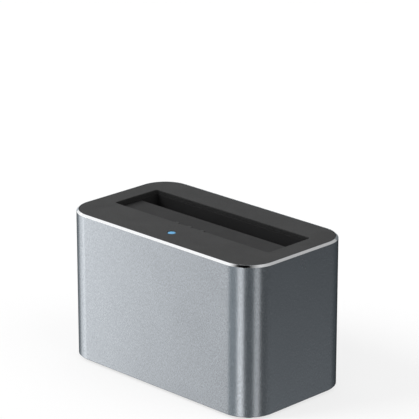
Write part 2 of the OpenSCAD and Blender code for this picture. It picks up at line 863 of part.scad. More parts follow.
module power_button() {
  color([0.2, 0.2, 0.2]) translate([button_x, 0, z_port]) difference() {
    union() {
      rod_y(button_flange_y, button_end - button_edge, button_d);
      rod_y(button_flange_y, port_shoulder, button_d + 2 * button_flange);
      translate([0, button_end, 0]) rotate([90, 0, 0])
        cylinder(h = button_edge, d1 = button_d - 2 * button_edge, d2 = button_d);
    }
    bar_y(button_flange_y - cut, plunger_end) square(plunger_w + plunger_gap, center = true);
  }
}

// Spring between the switch body and the button, with a straight end one wire long at each side
function coil_path() =
  let (steps = 8, first = coil_wire / 2, last = coil_l - coil_wire / 2)
  concat(
    [[coil_r, first, -coil_wire]],
    [
      for (i = [0:steps * coil_turns])
        [
          coil_r * cos(360 * i / steps),
          first + coil_pitch * i / steps,
          coil_r * sin(360 * i / steps)
        ]
    ],
    [[coil_r, last, coil_wire]]
  );

module switch_spring() {
  path = coil_path();
  echo(switch_spring_gap = self_gap(path, coil_wire, 7));
  color("silver") translate([button_x, switch_back + plunger_gap, z_port]) wire(path, coil_wire, [0, 1, 0]);
}

// Parts on the board

module bridge_chip() {
  color([0.1, 0.1, 0.1]) translate([bridge_at[0], bridge_at[1], z_board]) block(bridge_size);
}

module memory_chip() {
  color([0.1, 0.1, 0.1]) translate([memory_at[0], memory_at[1], z_board]) block(memory_size);
}

module regulator_chips() {
  color([0.1, 0.1, 0.1]) for (x = inductor_at) translate([x, regulator_y, z_board]) block(regulator_size);
}

// Row of leads along both long sides of a chip
module lead_rows(at, size, count) {
  pitch = size[0] / (count + 1);
  for (i = [1:count], side = [-1, 1])
    translate([at[0] - size[0] / 2 + i * pitch, at[1] + side * (size[1] + lead_l) / 2, z_board])
      block([lead_w, lead_l, lead_t]);
}

module chip_leads() {
  color("silver") {
    lead_rows(bridge_at, bridge_size, 12);
    lead_rows(memory_at, memory_size, 4);
    for (x = inductor_at) lead_rows([x, regulator_y], regulator_size, 4);
  }
}

module power_inductors() {
  color([0.25, 0.25, 0.26]) for (x = inductor_at)
    translate([x, front_row_y, z_board]) linear_extrude(inductor_size[2])
      rounded_rect(inductor_size[0], inductor_size[1], 1);
}

module filter_capacitors() {
  color("silver") for (x = can_left) translate([-x, front_row_y, z_board]) {
    block([can_d, can_d, can_base_h]);
    cylinder(h = can_h, d = can_d);
  }
}

module crystal() {
  color("silver") translate([crystal_at[0], crystal_at[1], z_board]) block(crystal_size);
}

module chip_passives() {
  color("tan") for (i = [0:passive_count - 1], y = passive_rows)
    translate([i * passive_pitch - passive_left, y, z_board]) block(passive_size);
}

sleeve();
top_cover();
base_plate();
rubber_feet();
base_screws();
drive_cradle();
cradle_screws();
dust_flap();
flap_pin();
flap_springs();
light_pipe();
status_led();
main_board();
board_screws();
sata_receptacle();
sata_data_contacts();
sata_power_contacts();
usb_shell();
usb_insert();
usb_contacts();
dc_jack();
dc_jack_pin();
dc_jack_spring();
power_switch();
switch_plunger();
power_button();
switch_spring();
bridge_chip();
memory_chip();
regulator_chips();
chip_leads();
power_inductors();
filter_capacitors();
crystal();
chip_passives();
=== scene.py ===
"""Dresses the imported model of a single-bay hard drive docking station and sets it on a pale stage."""

import functools
import json
import math
from typing import NamedTuple

import bmesh
import bpy
from bpy.props import FloatProperty, FloatVectorProperty, PointerProperty
from mathutils import Matrix, Vector


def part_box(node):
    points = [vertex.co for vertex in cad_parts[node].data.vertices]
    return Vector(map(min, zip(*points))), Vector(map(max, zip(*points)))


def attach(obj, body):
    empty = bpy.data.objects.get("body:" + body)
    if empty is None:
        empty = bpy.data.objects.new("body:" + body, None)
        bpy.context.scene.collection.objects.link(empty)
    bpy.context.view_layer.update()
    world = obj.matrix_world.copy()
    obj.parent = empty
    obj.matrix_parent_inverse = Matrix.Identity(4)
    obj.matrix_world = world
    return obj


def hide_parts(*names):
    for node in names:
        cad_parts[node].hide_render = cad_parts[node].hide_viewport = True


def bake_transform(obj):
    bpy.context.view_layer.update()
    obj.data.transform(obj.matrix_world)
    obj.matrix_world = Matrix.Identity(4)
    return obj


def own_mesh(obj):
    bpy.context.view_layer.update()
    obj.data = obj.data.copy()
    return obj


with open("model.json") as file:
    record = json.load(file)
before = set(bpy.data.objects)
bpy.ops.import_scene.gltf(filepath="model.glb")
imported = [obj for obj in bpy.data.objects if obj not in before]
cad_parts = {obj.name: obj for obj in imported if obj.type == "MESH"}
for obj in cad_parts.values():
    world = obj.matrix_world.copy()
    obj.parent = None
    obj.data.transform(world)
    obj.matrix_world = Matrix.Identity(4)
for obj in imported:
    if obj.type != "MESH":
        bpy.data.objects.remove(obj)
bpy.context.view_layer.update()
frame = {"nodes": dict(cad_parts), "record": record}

bl_info = {
    "name": "Docking Station",
    "version": (1, 0, 0),
    "blender": (4, 5, 0),
    "location": "3D View > Sidebar > Dock",
    "description": "Dresses the packed model of a single-bay hard drive docking station",
    "category": "Object",
}

# Lengths are in metres, as in the frame
MM = 0.001

# Points closer than this are one point
WELD = 0.001 * MM

# Angles between two faces: below FLAT they are joined, above BROKEN the edge is rounded, above HARD it shows
FLAT = math.radians(0.5)
BROKEN = math.radians(30)
HARD = math.radians(40)

# Steps of the round stretches
CORNER_STEPS = 24
SLOT_STEPS = 8
RIB_STEPS = 16
PORT_STEPS = 6
EDGE_STEPS = 4
SOFT_STEPS = 3
ROUND_STEPS = 64
BOSS_STEPS = 32
DOME_STEPS = 6
DISH_STEPS = 8
TURN_STEPS = 24
LEG_STEPS = 6
WIRE_SIDES = 12

# Radius of the first ring beside the axis of a turned piece
HUB = 0.1 * MM

# Width of the broken edges on the pieces that keep their solid's own shape
BREAKS = {
    "base_plate": 0.2 * MM, "status_led": 0.1 * MM, "drive_cradle": 0.2 * MM, "sata_receptacle": 0.25 * MM,
    "sata_data_contacts": 0.06 * MM, "sata_power_contacts": 0.06 * MM, "dust_flap": 0.2 * MM,
    "flap_pin": 0.25 * MM, "usb_insert": 0.12 * MM, "usb_contacts": 0.05 * MM, "dc_jack": 0.3 * MM,
    "dc_jack_pin": 0.1 * MM, "dc_jack_spring": 0.08 * MM, "power_switch": 0.2 * MM,
    "switch_plunger": 0.15 * MM, "power_button": 0.2 * MM, "main_board": 0.1 * MM, "bridge_chip": 0.12 * MM,
    "memory_chip": 0.12 * MM, "regulator_chips": 0.12 * MM, "crystal": 0.12 * MM,
    "filter_capacitors": 0.12 * MM, "power_inductors": 0.3 * MM, "chip_leads": 0.05 * MM,
    "chip_passives": 0.06 * MM, "base_screws": 0.15 * MM, "cradle_screws": 0.1 * MM, "board_screws": 0.1 * MM,
}

# Steps across a broken edge, and the pieces with rounder ones
BREAK_STEPS = 2
ROUNDER = {"dust_flap": 3, "dc_jack": 3, "power_button": 3}

# What the frame says of the nodes
slot_of = {part["node"]: part["material_slot"] for part in frame["record"]["subparts"]}
body_of = {node: body for body, nodes in frame["record"]["behaviour"]["bodies"].items() for node in nodes}
joints = {joint["name"]: joint for joint in frame["record"]["behaviour"]["joints"]}
sleeve_low, sleeve_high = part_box("sleeve")
cover_low, cover_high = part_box("top_cover")
pipe_low, pipe_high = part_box("light_pipe")
button_low, button_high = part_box("power_button")
shell_low, shell_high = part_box("usb_shell")
jack_low, jack_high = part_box("dc_jack")


# Settings

def length(label, text, value):
    """Property for a size in metres."""
    return FloatProperty(name=label, description=text, default=value, unit="LENGTH", precision=5)


def angle(label, text, degrees):
    """Property for an angle."""
    return FloatProperty(
        name=label, description=text, default=math.radians(degrees), subtype="ANGLE", unit="ROTATION"
    )


def number(label, text, value):
    """Property for a plain number."""
    return FloatProperty(name=label, description=text, default=value)


def colour(label, text, value):
    """Property for a finish's colour."""
    return FloatVectorProperty(
        name=label, description=text, default=value, size=3, subtype="COLOR", min=0, max=1
    )


class HousingSizes(bpy.types.PropertyGroup):
    """Sizes of the aluminium sleeve."""

    corner_radius: length("Corner radius", "Outer radius of the upright corners", 15.5 * MM)
    wall: length("Wall", "Thickness of the sleeve's wall", 2.6 * MM)
    rim_wall: length("Rim wall", "Wall left beside the rebates at both ends", 1.25 * MM)
    rebate: length("Rebate", "Depth of the rebates for cover and base", 2.6 * MM)
    rim_chamfer: length("Rim chamfer", "Bright-cut chamfer round the top edge", 1.0 * MM)
    sole_chamfer: length("Sole chamfer", "Broken edge round the bottom", 0.4 * MM)
    edge_radius: length("Edge radius", "Radius left on the cut edges", 0.1 * MM)


class RearSizes(bpy.types.PropertyGroup):
    """Sizes of the inlets and the button in the rear wall."""

    gap: length("Gap", "Room round each of them in the wall", 0.3 * MM)
    countersink: length("Countersink", "Broken edge round each opening in the wall", 0.3 * MM)
    usb_corner: length("USB corner", "Radius of the corners of the USB inlet's opening", 0.6 * MM)
    jack_radius: length("Jack radius", "Radius of the power inlet's nose", 4.2 * MM)
    button_radius: length("Button radius", "Radius of the button's cap", 4 * MM)
    button_dish: length("Button dish", "Depth of the hollow in the button's face", 0.4 * MM)
    shell_wall: length("Shell wall", "Thickness of the USB inlet's shell", 0.4 * MM)
    shell_corner: length("Shell corner", "Outer radius of the shell's corners", 0.9 * MM)
    shell_fold: length("Shell fold", "Fold round the shell's closed end", 0.3 * MM)
    shell_lip: length("Shell lip", "Radius on the shell's edges", 0.15 * MM)


class CoverSizes(bpy.types.PropertyGroup):
    """Sizes of the plastic cover in the top of the sleeve."""

    inset: length("Inset", "Distance of the cover's edge from the sleeve's outside", 1.4 * MM)
    slot_width: length("Slot width", "Length of the drive slot", 105 * MM)
    slot_depth: length("Slot depth", "Width of the drive slot, front to back", 29 * MM)
    slot_middle: length("Slot middle", "Distance of the slot's middle behind the dock's", 3.6 * MM)
    slot_radius: length("Slot radius", "Radius of the slot's corners", 1.2 * MM)
    rib_radius: length("Rib radius", "Radius of the ribs on the slot's front edge", 1.4 * MM)
    rib_pitch: length("Rib pitch", "Distance between those ribs", 8.6 * MM)
    rim_radius: length("Rim radius", "Radius on the cover's outer edge", 0.25 * MM)
    slot_edge: length("Slot edge", "Radius on the slot's edge", 0.45 * MM)
    light_gap: length("Light gap", "Gap round the light window", 0.1 * MM)
    post_x: length("Post X", "Place of the screw posts to either side", 54.0154 * MM)
    post_y: length("Post Y", "Place of the screw posts, front and back", 25.2654 * MM)
    post_diameter: length("Post diameter", "Diameter of the screw posts", 7 * MM)
    post_bore: length("Post bore", "Diameter of the hole in each post", 3 * MM)
    post_bore_depth: length("Post bore depth", "Depth of the hole in each post", 10 * MM)
    boss_x: length("Boss X", "Place of the cradle's bosses to either side", 38.5 * MM)
    boss_front: length("Boss front", "Place of the front bosses", -21.9 * MM)
    boss_back: length("Boss back", "Place of the rear bosses", 24.1 * MM)
    boss_drop: length("Boss drop", "Length of the bosses under the cover", 5 * MM)
    boss_diameter: length("Boss diameter", "Diameter of the bosses", 5.6 * MM)
    boss_bore: length("Boss bore", "Diameter of the hole in each boss", 2.1 * MM)
    boss_bore_depth: length("Boss bore depth", "Depth of the hole in each boss", 4 * MM)
    boss_edge: length("Boss edge", "Radius on the edges of posts and bosses", 0.3 * MM)


class FootSizes(bpy.types.PropertyGroup):
    """Sizes of the rubber feet."""

    hollow: length("Hollow", "Depth of the hollow under each foot", 0.35 * MM)
    ring: length("Ring", "Width from the foot's outside to the slope into its hollow", 1.4 * MM)
    slope: length("Slope", "Width of that slope", 0.3 * MM)
    edge: length("Edge", "Broken edge round the sole", 0.5 * MM)
    edge_radius: length("Edge radius", "Radius left on the foot's edges", 0.25 * MM)


class LightSizes(bpy.types.PropertyGroup):
    """Sizes of the status light's window."""

    radius: length("Radius", "Radius of the window in the cover", 2 * MM)
    stem_radius: length("Stem radius", "Radius of the stem under the window", 1.5 * MM)
    lip: length("Lip", "Height of the lip under the cover", 1.2 * MM)
    dome: length("Dome", "How far the window's top falls from its middle to its edge", 0.12 * MM)
    edge_width: length("Edge width", "Width of the broken edge round the window", 0.12 * MM)
    edge_top: length("Edge top", "Depth of that edge's inner side", 0.13 * MM)
    edge_foot: length("Edge foot", "Depth of that edge's outer side", 0.3 * MM)


class SpringSizes(bpy.types.PropertyGroup):
    """Sizes of the flap's torsion springs and of the button's coil."""

    torsion_x: length("Torsion spring X", "Distance of each torsion spring from the middle", 30 * MM)
    torsion_wire: length("Torsion wire", "Diameter of the torsion springs' wire", 0.6 * MM)
    torsion_radius: length("Torsion radius", "Radius of the torsion springs' turns", 1.6 * MM)
    torsion_length: length("Torsion length", "Length of a torsion spring's turns", 5.5125 * MM)
    torsion_leg: length("Torsion leg", "Length of a torsion spring's legs", 9 * MM)
    torsion_turns: number("Torsion turns", "Turns of a torsion spring", 5.25)
    coil_wire: length("Coil wire", "Diameter of the button spring's wire", 0.4 * MM)
    coil_travel: length("Coil travel", "How far the button squeezes its spring", 1.2 * MM)
    coil_turns: number("Coil turns", "Turns of the button's spring", 3)


class DockColours(bpy.types.PropertyGroup):
    """Colours of the finishes."""

    anodised: colour("Anodised grey", "Dyed oxide on the sleeve", (0.43, 0.457, 0.486))
    bright_cut: colour("Bright cut", "Bare metal of the cut edges", (0.87, 0.88, 0.89))
    charcoal: colour("Charcoal plastic", "Top cover", (0.020, 0.020, 0.0202))
    black: colour("Black plastic", "Cradle, flap and base", (0.018, 0.018, 0.0185))
    button: colour("Button plastic", "Power button", (0.03, 0.03, 0.032))
    rubber: colour("Rubber", "Feet", (0.024, 0.024, 0.024))
    zinc: colour("Zinc plate", "Screws", (0.62, 0.62, 0.60))
    steel: colour("Bright steel", "Pin, springs and inlet shell", (0.68, 0.68, 0.68))
    light: colour("Light window", "Frosted window over the lamp", (0.05, 0.22, 0.40))
    glow: colour("Light glow", "Light that the window gives off", (0.10, 0.48, 0.86))
    lamp: colour("Lamp body", "Moulded body of the lamp on the board", (0.85, 0.85, 0.80))
    board: colour("Solder mask", "Circuit board", (0.02, 0.13, 0.06))
    track: colour("Copper tracks", "Tracks under the solder mask", (0.04, 0.24, 0.10))
    connector: colour("Connector black", "Bodies of connectors and switch", (0.032, 0.032, 0.033))
    gold: colour("Contact gold", "Plated contacts", (0.83, 0.63, 0.25))
    insulator: colour("Blue insulator", "Insulator in the USB inlet", (0.03, 0.2, 0.55))
    ivory: colour("Ivory plastic", "Plunger of the switch", (0.80, 0.78, 0.70))
    epoxy: colour("Chip epoxy", "Bodies of the chips", (0.03, 0.03, 0.03))
    tin: colour("Tinned leads", "Leads and crystal can", (0.65, 0.65, 0.63))
    ferrite: colour("Ferrite", "Pressed coil bodies", (0.09, 0.09, 0.095))
    can: colour("Capacitor can", "Drawn cans of the capacitors", (0.72, 0.72, 0.72))
    ceramic: colour("Ceramic", "Small resistors and capacitors", (0.45, 0.36, 0.25))


class StageSettings(bpy.types.PropertyGroup):
    """Camera, floor and light."""

    eye: FloatVectorProperty(
        name="Eye", description="Place of the camera", default=(0.7943, -0.7985, 0.4649),
        size=3, subtype="XYZ", unit="LENGTH",
    )
    azimuth: angle("Azimuth", "Turn of the camera to the right of the front", 44.746)
    elevation: angle("Elevation", "Tilt of the camera above the horizon", 18.69)
    lens: number("Lens", "Focal length in millimetres", 210.18)
    floor: colour("Floor", "Pale floor under the dock", (0.92, 0.92, 0.92))
    floor_white: number("Floor white", "Share of plain white in the floor", 0.72)
    ambient: number("Ambient", "Light from all round", 0.6)
    key: number("Key", "Sun-like light from the front left", 1.9)
    fill: number("Fill", "Sun-like light from the right", 0.6)


# Outlines

def arc(centre, radius, start, turn, steps):
    """Points along an arc; the angles are in degrees."""
    angles = [math.radians(start + turn * i / steps) for i in range(steps + 1)]
    return [(centre[0] + radius * math.cos(a), centre[1] + radius * math.sin(a)) for a in angles]


def circle(middle, radius, steps=ROUND_STEPS):
    """Closed outline of a circle."""
    return arc(middle, radius, 0, 360, steps)[:-1]


def rounded_rectangle(width, depth, radius, steps, middle=(0, 0)):
    """Closed outline of a rectangle with round corners."""
    points = []
    for k, (sx, sy) in enumerate(((1, 1), (-1, 1), (-1, -1), (1, -1))):
        centre = (middle[0] + sx * (width / 2 - radius), middle[1] + sy * (depth / 2 - radius))
        points += arc(centre, radius, 90 * k, 90, steps)
    return points


def sleeve_plan(housing, inset):
    """The sleeve's outline from above, drawn in by an inset."""
    span = sleeve_high - sleeve_low
    return rounded_rectangle(
        span.x - 2 * inset, span.y - 2 * inset, housing.corner_radius - inset, CORNER_STEPS
    )


def usb_outline(grow, corner):
    """The outline of the USB inlet's shell from behind, grown by a margin."""
    span = shell_high - shell_low
    middle = (shell_low + shell_high) / 2
    return rounded_rectangle(
        span.x + 2 * grow, span.z + 2 * grow, corner, PORT_STEPS, (middle.x, middle.z)
    )


def softened(outline, radius, closed=True):
    """The outline with each corner replaced by a small arc, as far as its sides leave room."""
    points = [Vector(p) for p in outline]
    most_of_side = 0.45
    made = []
    for i, here in enumerate(points):
        if not closed and i in (0, len(points) - 1):
            made.append(here)
            continue
        back = points[i - 1] - here
        ahead = points[(i + 1) % len(points)] - here
        half = back.angle(ahead) / 2
        trim = min(radius / math.tan(half), most_of_side * back.length, most_of_side * ahead.length)
        inward = (back.normalized() + ahead.normalized()).normalized()
        centre = here + inward * trim / math.cos(half)
        start = here + back.normalized() * trim - centre
        end = here + ahead.normalized() * trim - centre
        for k in range(SOFT_STEPS + 1):
            made.append(centre + start.length * start.slerp(end, k / SOFT_STEPS))
    return made


def at_height(outline, z):
    """Points of an outline that lies flat at a height."""
    return [(x, y, z) for x, y in outline]


def at_depth(outline, y):
    """Points of an outline that stands upright at a distance behind the middle."""
    return [(x, y, z) for x, z in outline]


def around(ring):
    """Each item of a closed ring with the next one."""
    return zip(ring, ring[1:] + ring[:1])


# Mesh tools

def skin(bm, loops, closed=False):
    """Quads between neighbouring closed loops of points; returns the vertex rings and the rows of faces."""
    rings = [[bm.verts.new(point) for point in loop] for loop in loops]
    pairs = list(zip(rings, rings[1:]))
    if closed:
        pairs.append((rings[-1], rings[0]))
    rows = []
    for low, high in pairs:
        sides = zip(around(low), around(high))
        rows.append([bm.faces.new((a, b, d, c)) for (a, b), (c, d) in sides])
    return rings, rows


def capped(loops):
    """Closed mesh through loops of points, with flat ends."""
    bm = bmesh.new()
    rings, _ = skin(bm, loops)
    bm.faces.new(rings[0])
    bm.faces.new(rings[-1])
    return bm


def rim_edges(bm, ring):
    """Edges of a closed vertex ring."""
    return [bm.edges.get(pair) for pair in around(ring)]


def lathe(profile):
    """Mesh turned about Z from points of radius and height; it starts and ends on the axis."""
    bm = bmesh.new()
    rings, _ = skin(bm, [at_height(circle((0, 0), radius), z) for radius, z in profile[1:-1]])
    for ring, (_, z) in ((rings[0], profile[0]), (rings[-1], profile[-1])):
        tip = bm.verts.new((0, 0, z))
        for v, w in around(ring):
            bm.faces.new((v, w, tip))
    return bm


def tube(path, diameter):
    """Round wire along a path, with flat ends."""
    loops = []
    side = Vector((0, 0, 1)).cross(path[1] - path[0])
    if side.length < WELD:
        side = Vector((1, 0, 0))
    for i, here in enumerate(path):
        along = (path[min(i + 1, len(path) - 1)] - path[max(i - 1, 0)]).normalized()
        side = (side - along * side.dot(along)).normalized()
        other = along.cross(side)
        ring = circle((0, 0), diameter / 2, WIRE_SIDES)
        loops.append([here + x * side + y * other for x, y in ring])
    return capped(loops)


def node_mesh(node):
    """Welded copy of a CAD node's mesh, with its flat faces joined up."""
    source = frame["nodes"][node].data
    bm = bmesh.new()
    verts = [bm.verts.new(v.co) for v in source.vertices]
    for polygon in source.polygons:
        bm.faces.new([verts[i] for i in polygon.vertices])
    bmesh.ops.remove_doubles(bm, verts=bm.verts, dist=WELD)
    bmesh.ops.dissolve_limit(bm, angle_limit=FLAT, verts=bm.verts, edges=bm.edges)
    return bm


def broken_mesh(node):
    """The node's own shape with its sharp edges rounded."""
    bm = node_mesh(node)
    sharp = [edge for edge in bm.edges if edge.is_manifold and edge.calc_face_angle(0) > BROKEN]
    bmesh.ops.bevel(
        bm, geom=sharp, offset=BREAKS[node], offset_type="OFFSET", segments=ROUNDER.get(node, BREAK_STEPS),
        profile=0.5, affect="EDGES", clamp_overlap=False,
    )
    bmesh.ops.remove_doubles(bm, verts=bm.verts, dist=WELD)
    bmesh.ops.dissolve_degenerate(bm, edges=bm.edges, dist=WELD)
    return bm


def dish(bm, depth):
    """Hollows the flat end that faces the rear into a shallow dish."""
    end = max(bm.faces, key=lambda face: face.calc_center_median().y)
    middle = end.calc_center_median()
    ring = [loop.vert for loop in end.loops]
    outline = [vert.co.copy() for vert in ring]
    bm.faces.remove(end)
    for k in range(1, DISH_STEPS):
        share = 1 - k / DISH_STEPS
        drop = Vector((0, depth * (1 - share ** 2), 0))
        inner = [bm.verts.new(middle + share * (point - middle) - drop) for point in outline]
        for i in range(len(ring)):
            bm.faces.new((ring[i - 1], ring[i], inner[i], inner[i - 1]))
        ring = inner
    tip = bm.verts.new(middle - Vector((0, depth, 0)))
    for i in range(len(ring)):
        bm.faces.new((ring[i - 1], ring[i], tip))
    return bm


def make_piece(name, bm, materials, at=(0, 0, 0)):
    """New object from a mesh under construction, shaded smooth between its hard edges."""
    bmesh.ops.recalc_face_normals(bm, faces=bm.faces)
    if bm.calc_volume(signed=True) < 0:
        bmesh.ops.reverse_faces(bm, faces=bm.faces)
    for face in bm.faces:
        face.smooth = True
    for edge in bm.edges:
        edge.smooth = edge.calc_face_angle(0) < HARD
    mesh = bpy.data.meshes.new(name)
    bm.to_mesh(mesh)
    bm.free()
    for material in materials:
        mesh.materials.append(material)
    piece = bpy.data.objects.new(name, mesh)
    piece.location = at
    bpy.context.scene.collection.objects.link(piece)
    return piece


def cut_away(piece, cutters):
    """Cuts closed meshes out of a piece."""
    for bm in cutters:
        cutter = make_piece("cutter", bm, ())
        modifier = piece.modifiers.new("cut", "BOOLEAN")
        modifier.object = cutter
        modifier.operation = "DIFFERENCE"
        modifier.solver = "EXACT"
        evaluated = piece.evaluated_get(bpy.context.evaluated_depsgraph_get())
        cut = bpy.data.meshes.new_from_object(evaluated)
        piece.modifiers.remove(modifier)
        piece.data = cut
        bpy.data.objects.remove(cutter)


def stand_for(piece, body, slot, *nodes):
    """Puts a piece in place of CAD nodes, on their body; slot, the name of their finish, is not used.

    The large faces rule the shading, so that flats stay flat beside their rounded edges.
    """
    modifier = piece.modifiers.new("flat faces", "WEIGHTED_NORMAL")
    modifier.keep_sharp = True
    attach(piece, body)
    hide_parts(*nodes)


# Shader tools

# Places of the sockets on a mix node, for numbers and for colours
NUMBER_A, NUMBER_B, NUMBER_OUT = 2, 3, 0
COLOUR_A, COLOUR_B, COLOUR_OUT = 6, 7, 2

# Noise lies about its middle, mostly within 0.25, so the gain brings it to the full spread
NOISE_MIDDLE = 0.5
NOISE_GAIN = 4.0


def add(tree, kind, inputs=None, **settings):
    """New shader node with its settings, input values and links."""
    made = tree.nodes.new(kind)
    for key, value in settings.items():
        setattr(made, key, value)
    for key, value in (inputs or {}).items():
        if isinstance(value, bpy.types.NodeSocket):
            tree.links.new(value, made.inputs[key])
        else:
            made.inputs[key].default_value = value
    return made


def maths(tree, operation, *values, clamp=False):
    """Result of an operation on numbers or sockets."""
    inputs = dict(enumerate(values))
    return add(tree, "ShaderNodeMath", inputs, operation=operation, use_clamp=clamp).outputs[0]


def vector_maths(tree, operation, *values, **named):
    """Result of an operation on vectors or sockets."""
    inputs = {**dict(enumerate(values)), **named}
    return add(tree, "ShaderNodeVectorMath", inputs, operation=operation).outputs


def scaled(tree, vector, factor):
    """Vector or colour times a factor."""
    return vector_maths(tree, "SCALE", vector, Scale=factor)["Vector"]


def blend_colour(tree, factor, a, b):
    """Colour between two colours."""
    inputs = {"Factor": factor, COLOUR_A: a, COLOUR_B: b}
    return add(tree, "ShaderNodeMix", inputs, data_type="RGBA").outputs[COLOUR_OUT]


def spread(tree, value, low, high):
    """Stretches a value from low and high to 0 and 1, and clamps it."""
    made = add(tree, "ShaderNodeMapRange", {"Value": value, "From Min": low, "From Max": high})
    return made.outputs["Result"]


def noise(tree, at, scale, detail, **more):
    """Cloudy value about 0.5."""
    inputs = {"Vector": at, "Scale": scale, "Detail": detail, **more}
    return add(tree, "ShaderNodeTexNoise", inputs).outputs[0]


def on_object(tree):
    """Place on the object, in metres."""
    return add(tree, "ShaderNodeTexCoord").outputs["Object"]


def looked_at(tree):
    """1 for the rays of the camera, of reflections and through clear things, and 0 for the rest."""
    rays = add(tree, "ShaderNodeLightPath").outputs
    seen = maths(tree, "MAXIMUM", rays["Is Camera Ray"], rays["Is Glossy Ray"])
    return maths(tree, "MAXIMUM", seen, rays["Is Transmission Ray"])


def new_group(name, inputs, outputs):
    """Shader group with named sockets; returns it with its inner ends."""
    tree = bpy.data.node_groups.new(name, "ShaderNodeTree")
    for label, kind, value in inputs:
        socket = tree.interface.new_socket(label, in_out="INPUT", socket_type=kind)
        socket.default_value = value
    for label, kind in outputs:
        tree.interface.new_socket(label, in_out="OUTPUT", socket_type=kind)
    return tree, tree.nodes.new("NodeGroupInput").outputs, tree.nodes.new("NodeGroupOutput").inputs


def place(tree, group, **values):
    """Puts a group into a material and returns its outputs."""
    inputs = {key.replace("_", " "): value for key, value in values.items()}
    return add(tree, "ShaderNodeGroup", inputs, node_tree=group).outputs


def grain_group():
    """Fine grain of a blasted, moulded or drawn surface; Stretch draws it out along the axes."""
    tree, given, put = new_group(
        "fine grain",
        [("Size", "NodeSocketFloat", 0.4 * MM), ("Stretch", "NodeSocketVector", (1, 1, 1))],
        [("Height", "NodeSocketFloat"), ("Speck", "NodeSocketFloat")],
    )
    fine_scale, fine_share = 2.7, 0.4
    speck_low, speck_high = 0.35, 0.65
    cell = scaled(tree, given["Stretch"], given["Size"])
    at = vector_maths(tree, "DIVIDE", on_object(tree), cell)["Vector"]
    coarse = noise(tree, at, scale=1, detail=2, Roughness=0.6)
    fine = noise(tree, at, fine_scale, detail=1)
    tree.links.new(maths(tree, "MULTIPLY_ADD", fine, fine_share, coarse), put["Height"])
    tree.links.new(spread(tree, coarse, speck_low, speck_high), put["Speck"])
    return tree


def drift_group():
    """Slow change of colour and gloss over a surface."""
    tree, given, put = new_group(
        "slow drift",
        [
            ("Colour", "NodeSocketColor", (0.5, 0.5, 0.5, 1)), ("Colour Spread", "NodeSocketFloat", 0.05),
            ("Roughness", "NodeSocketFloat", 0.5), ("Roughness Spread", "NodeSocketFloat", 0.05),
            ("Size", "NodeSocketFloat", 12 * MM),
        ],
        [("Colour", "NodeSocketColor"), ("Roughness", "NodeSocketFloat")],
    )
    where = on_object(tree)
    scale = maths(tree, "DIVIDE", 1.0, given["Size"])
    cloud = noise(tree, where, scale, detail=4)
    smear = noise(tree, where, scale, detail=6, Distortion=0.6)
    lift = maths(tree, "MULTIPLY", maths(tree, "SUBTRACT", cloud, NOISE_MIDDLE), given["Colour Spread"])
    gain = maths(tree, "MULTIPLY_ADD", lift, NOISE_GAIN, 1.0)
    gloss = maths(tree, "MULTIPLY", maths(tree, "SUBTRACT", smear, NOISE_MIDDLE), given["Roughness Spread"])
    rough = maths(tree, "MULTIPLY_ADD", gloss, NOISE_GAIN, given["Roughness"])
    tree.links.new(scaled(tree, given["Colour"], gain), put["Colour"])
    tree.links.new(rough, put["Roughness"])
    return tree


def edge_group():
    """Mask of the edges, where handling polishes a surface."""
    tree, given, put = new_group(
        "worn edge",
        [("Radius", "NodeSocketFloat", 0.3 * MM), ("Gain", "NodeSocketFloat", 3.0)],
        [("Mask", "NodeSocketFloat")],
    )
    rounded = add(tree, "ShaderNodeBevel", {"Radius": given["Radius"]}, samples=4).outputs["Normal"]
    facing = add(tree, "ShaderNodeNewGeometry").outputs["Normal"]
    turn = vector_maths(tree, "DOT_PRODUCT", rounded, facing)["Value"]
    bend = maths(tree, "MULTIPLY", maths(tree, "SUBTRACT", 1.0, turn), given["Gain"], clamp=True)
    tree.links.new(bend, put["Mask"])
    return tree


def new_finish(name):
    """Empty material with its shader; returns material, tree and shader."""
    material = bpy.data.materials.new(name)
    material.use_nodes = True
    tree = material.node_tree
    return material, tree, tree.nodes["Principled BSDF"]


def rgba(value):
    """Colour with full alpha."""
    return (*value, 1.0)


# Finishes

# How far handling polishes a surface from its edges
WORN_REACH = 0.25 * MM

# How strongly most plastics reflect
PLASTIC_SPECULAR = 0.4

# The light window's glow: radius of its full part, radius where it is dimmest, share left there, strength
GLOW_CORE = 0.6 * MM
GLOW_RIM = 2.1 * MM
GLOW_DIM = 0.35
GLOW_STRENGTH = 0.3

# The board's tracks: size of a patch, half their pitch, and where across it the copper starts and is full
TRACK_PATCH = 9 * MM
TRACK_HALF_PITCH = 0.6 * MM
TRACK_START = 0.3 * MM
TRACK_FULL = 0.36 * MM


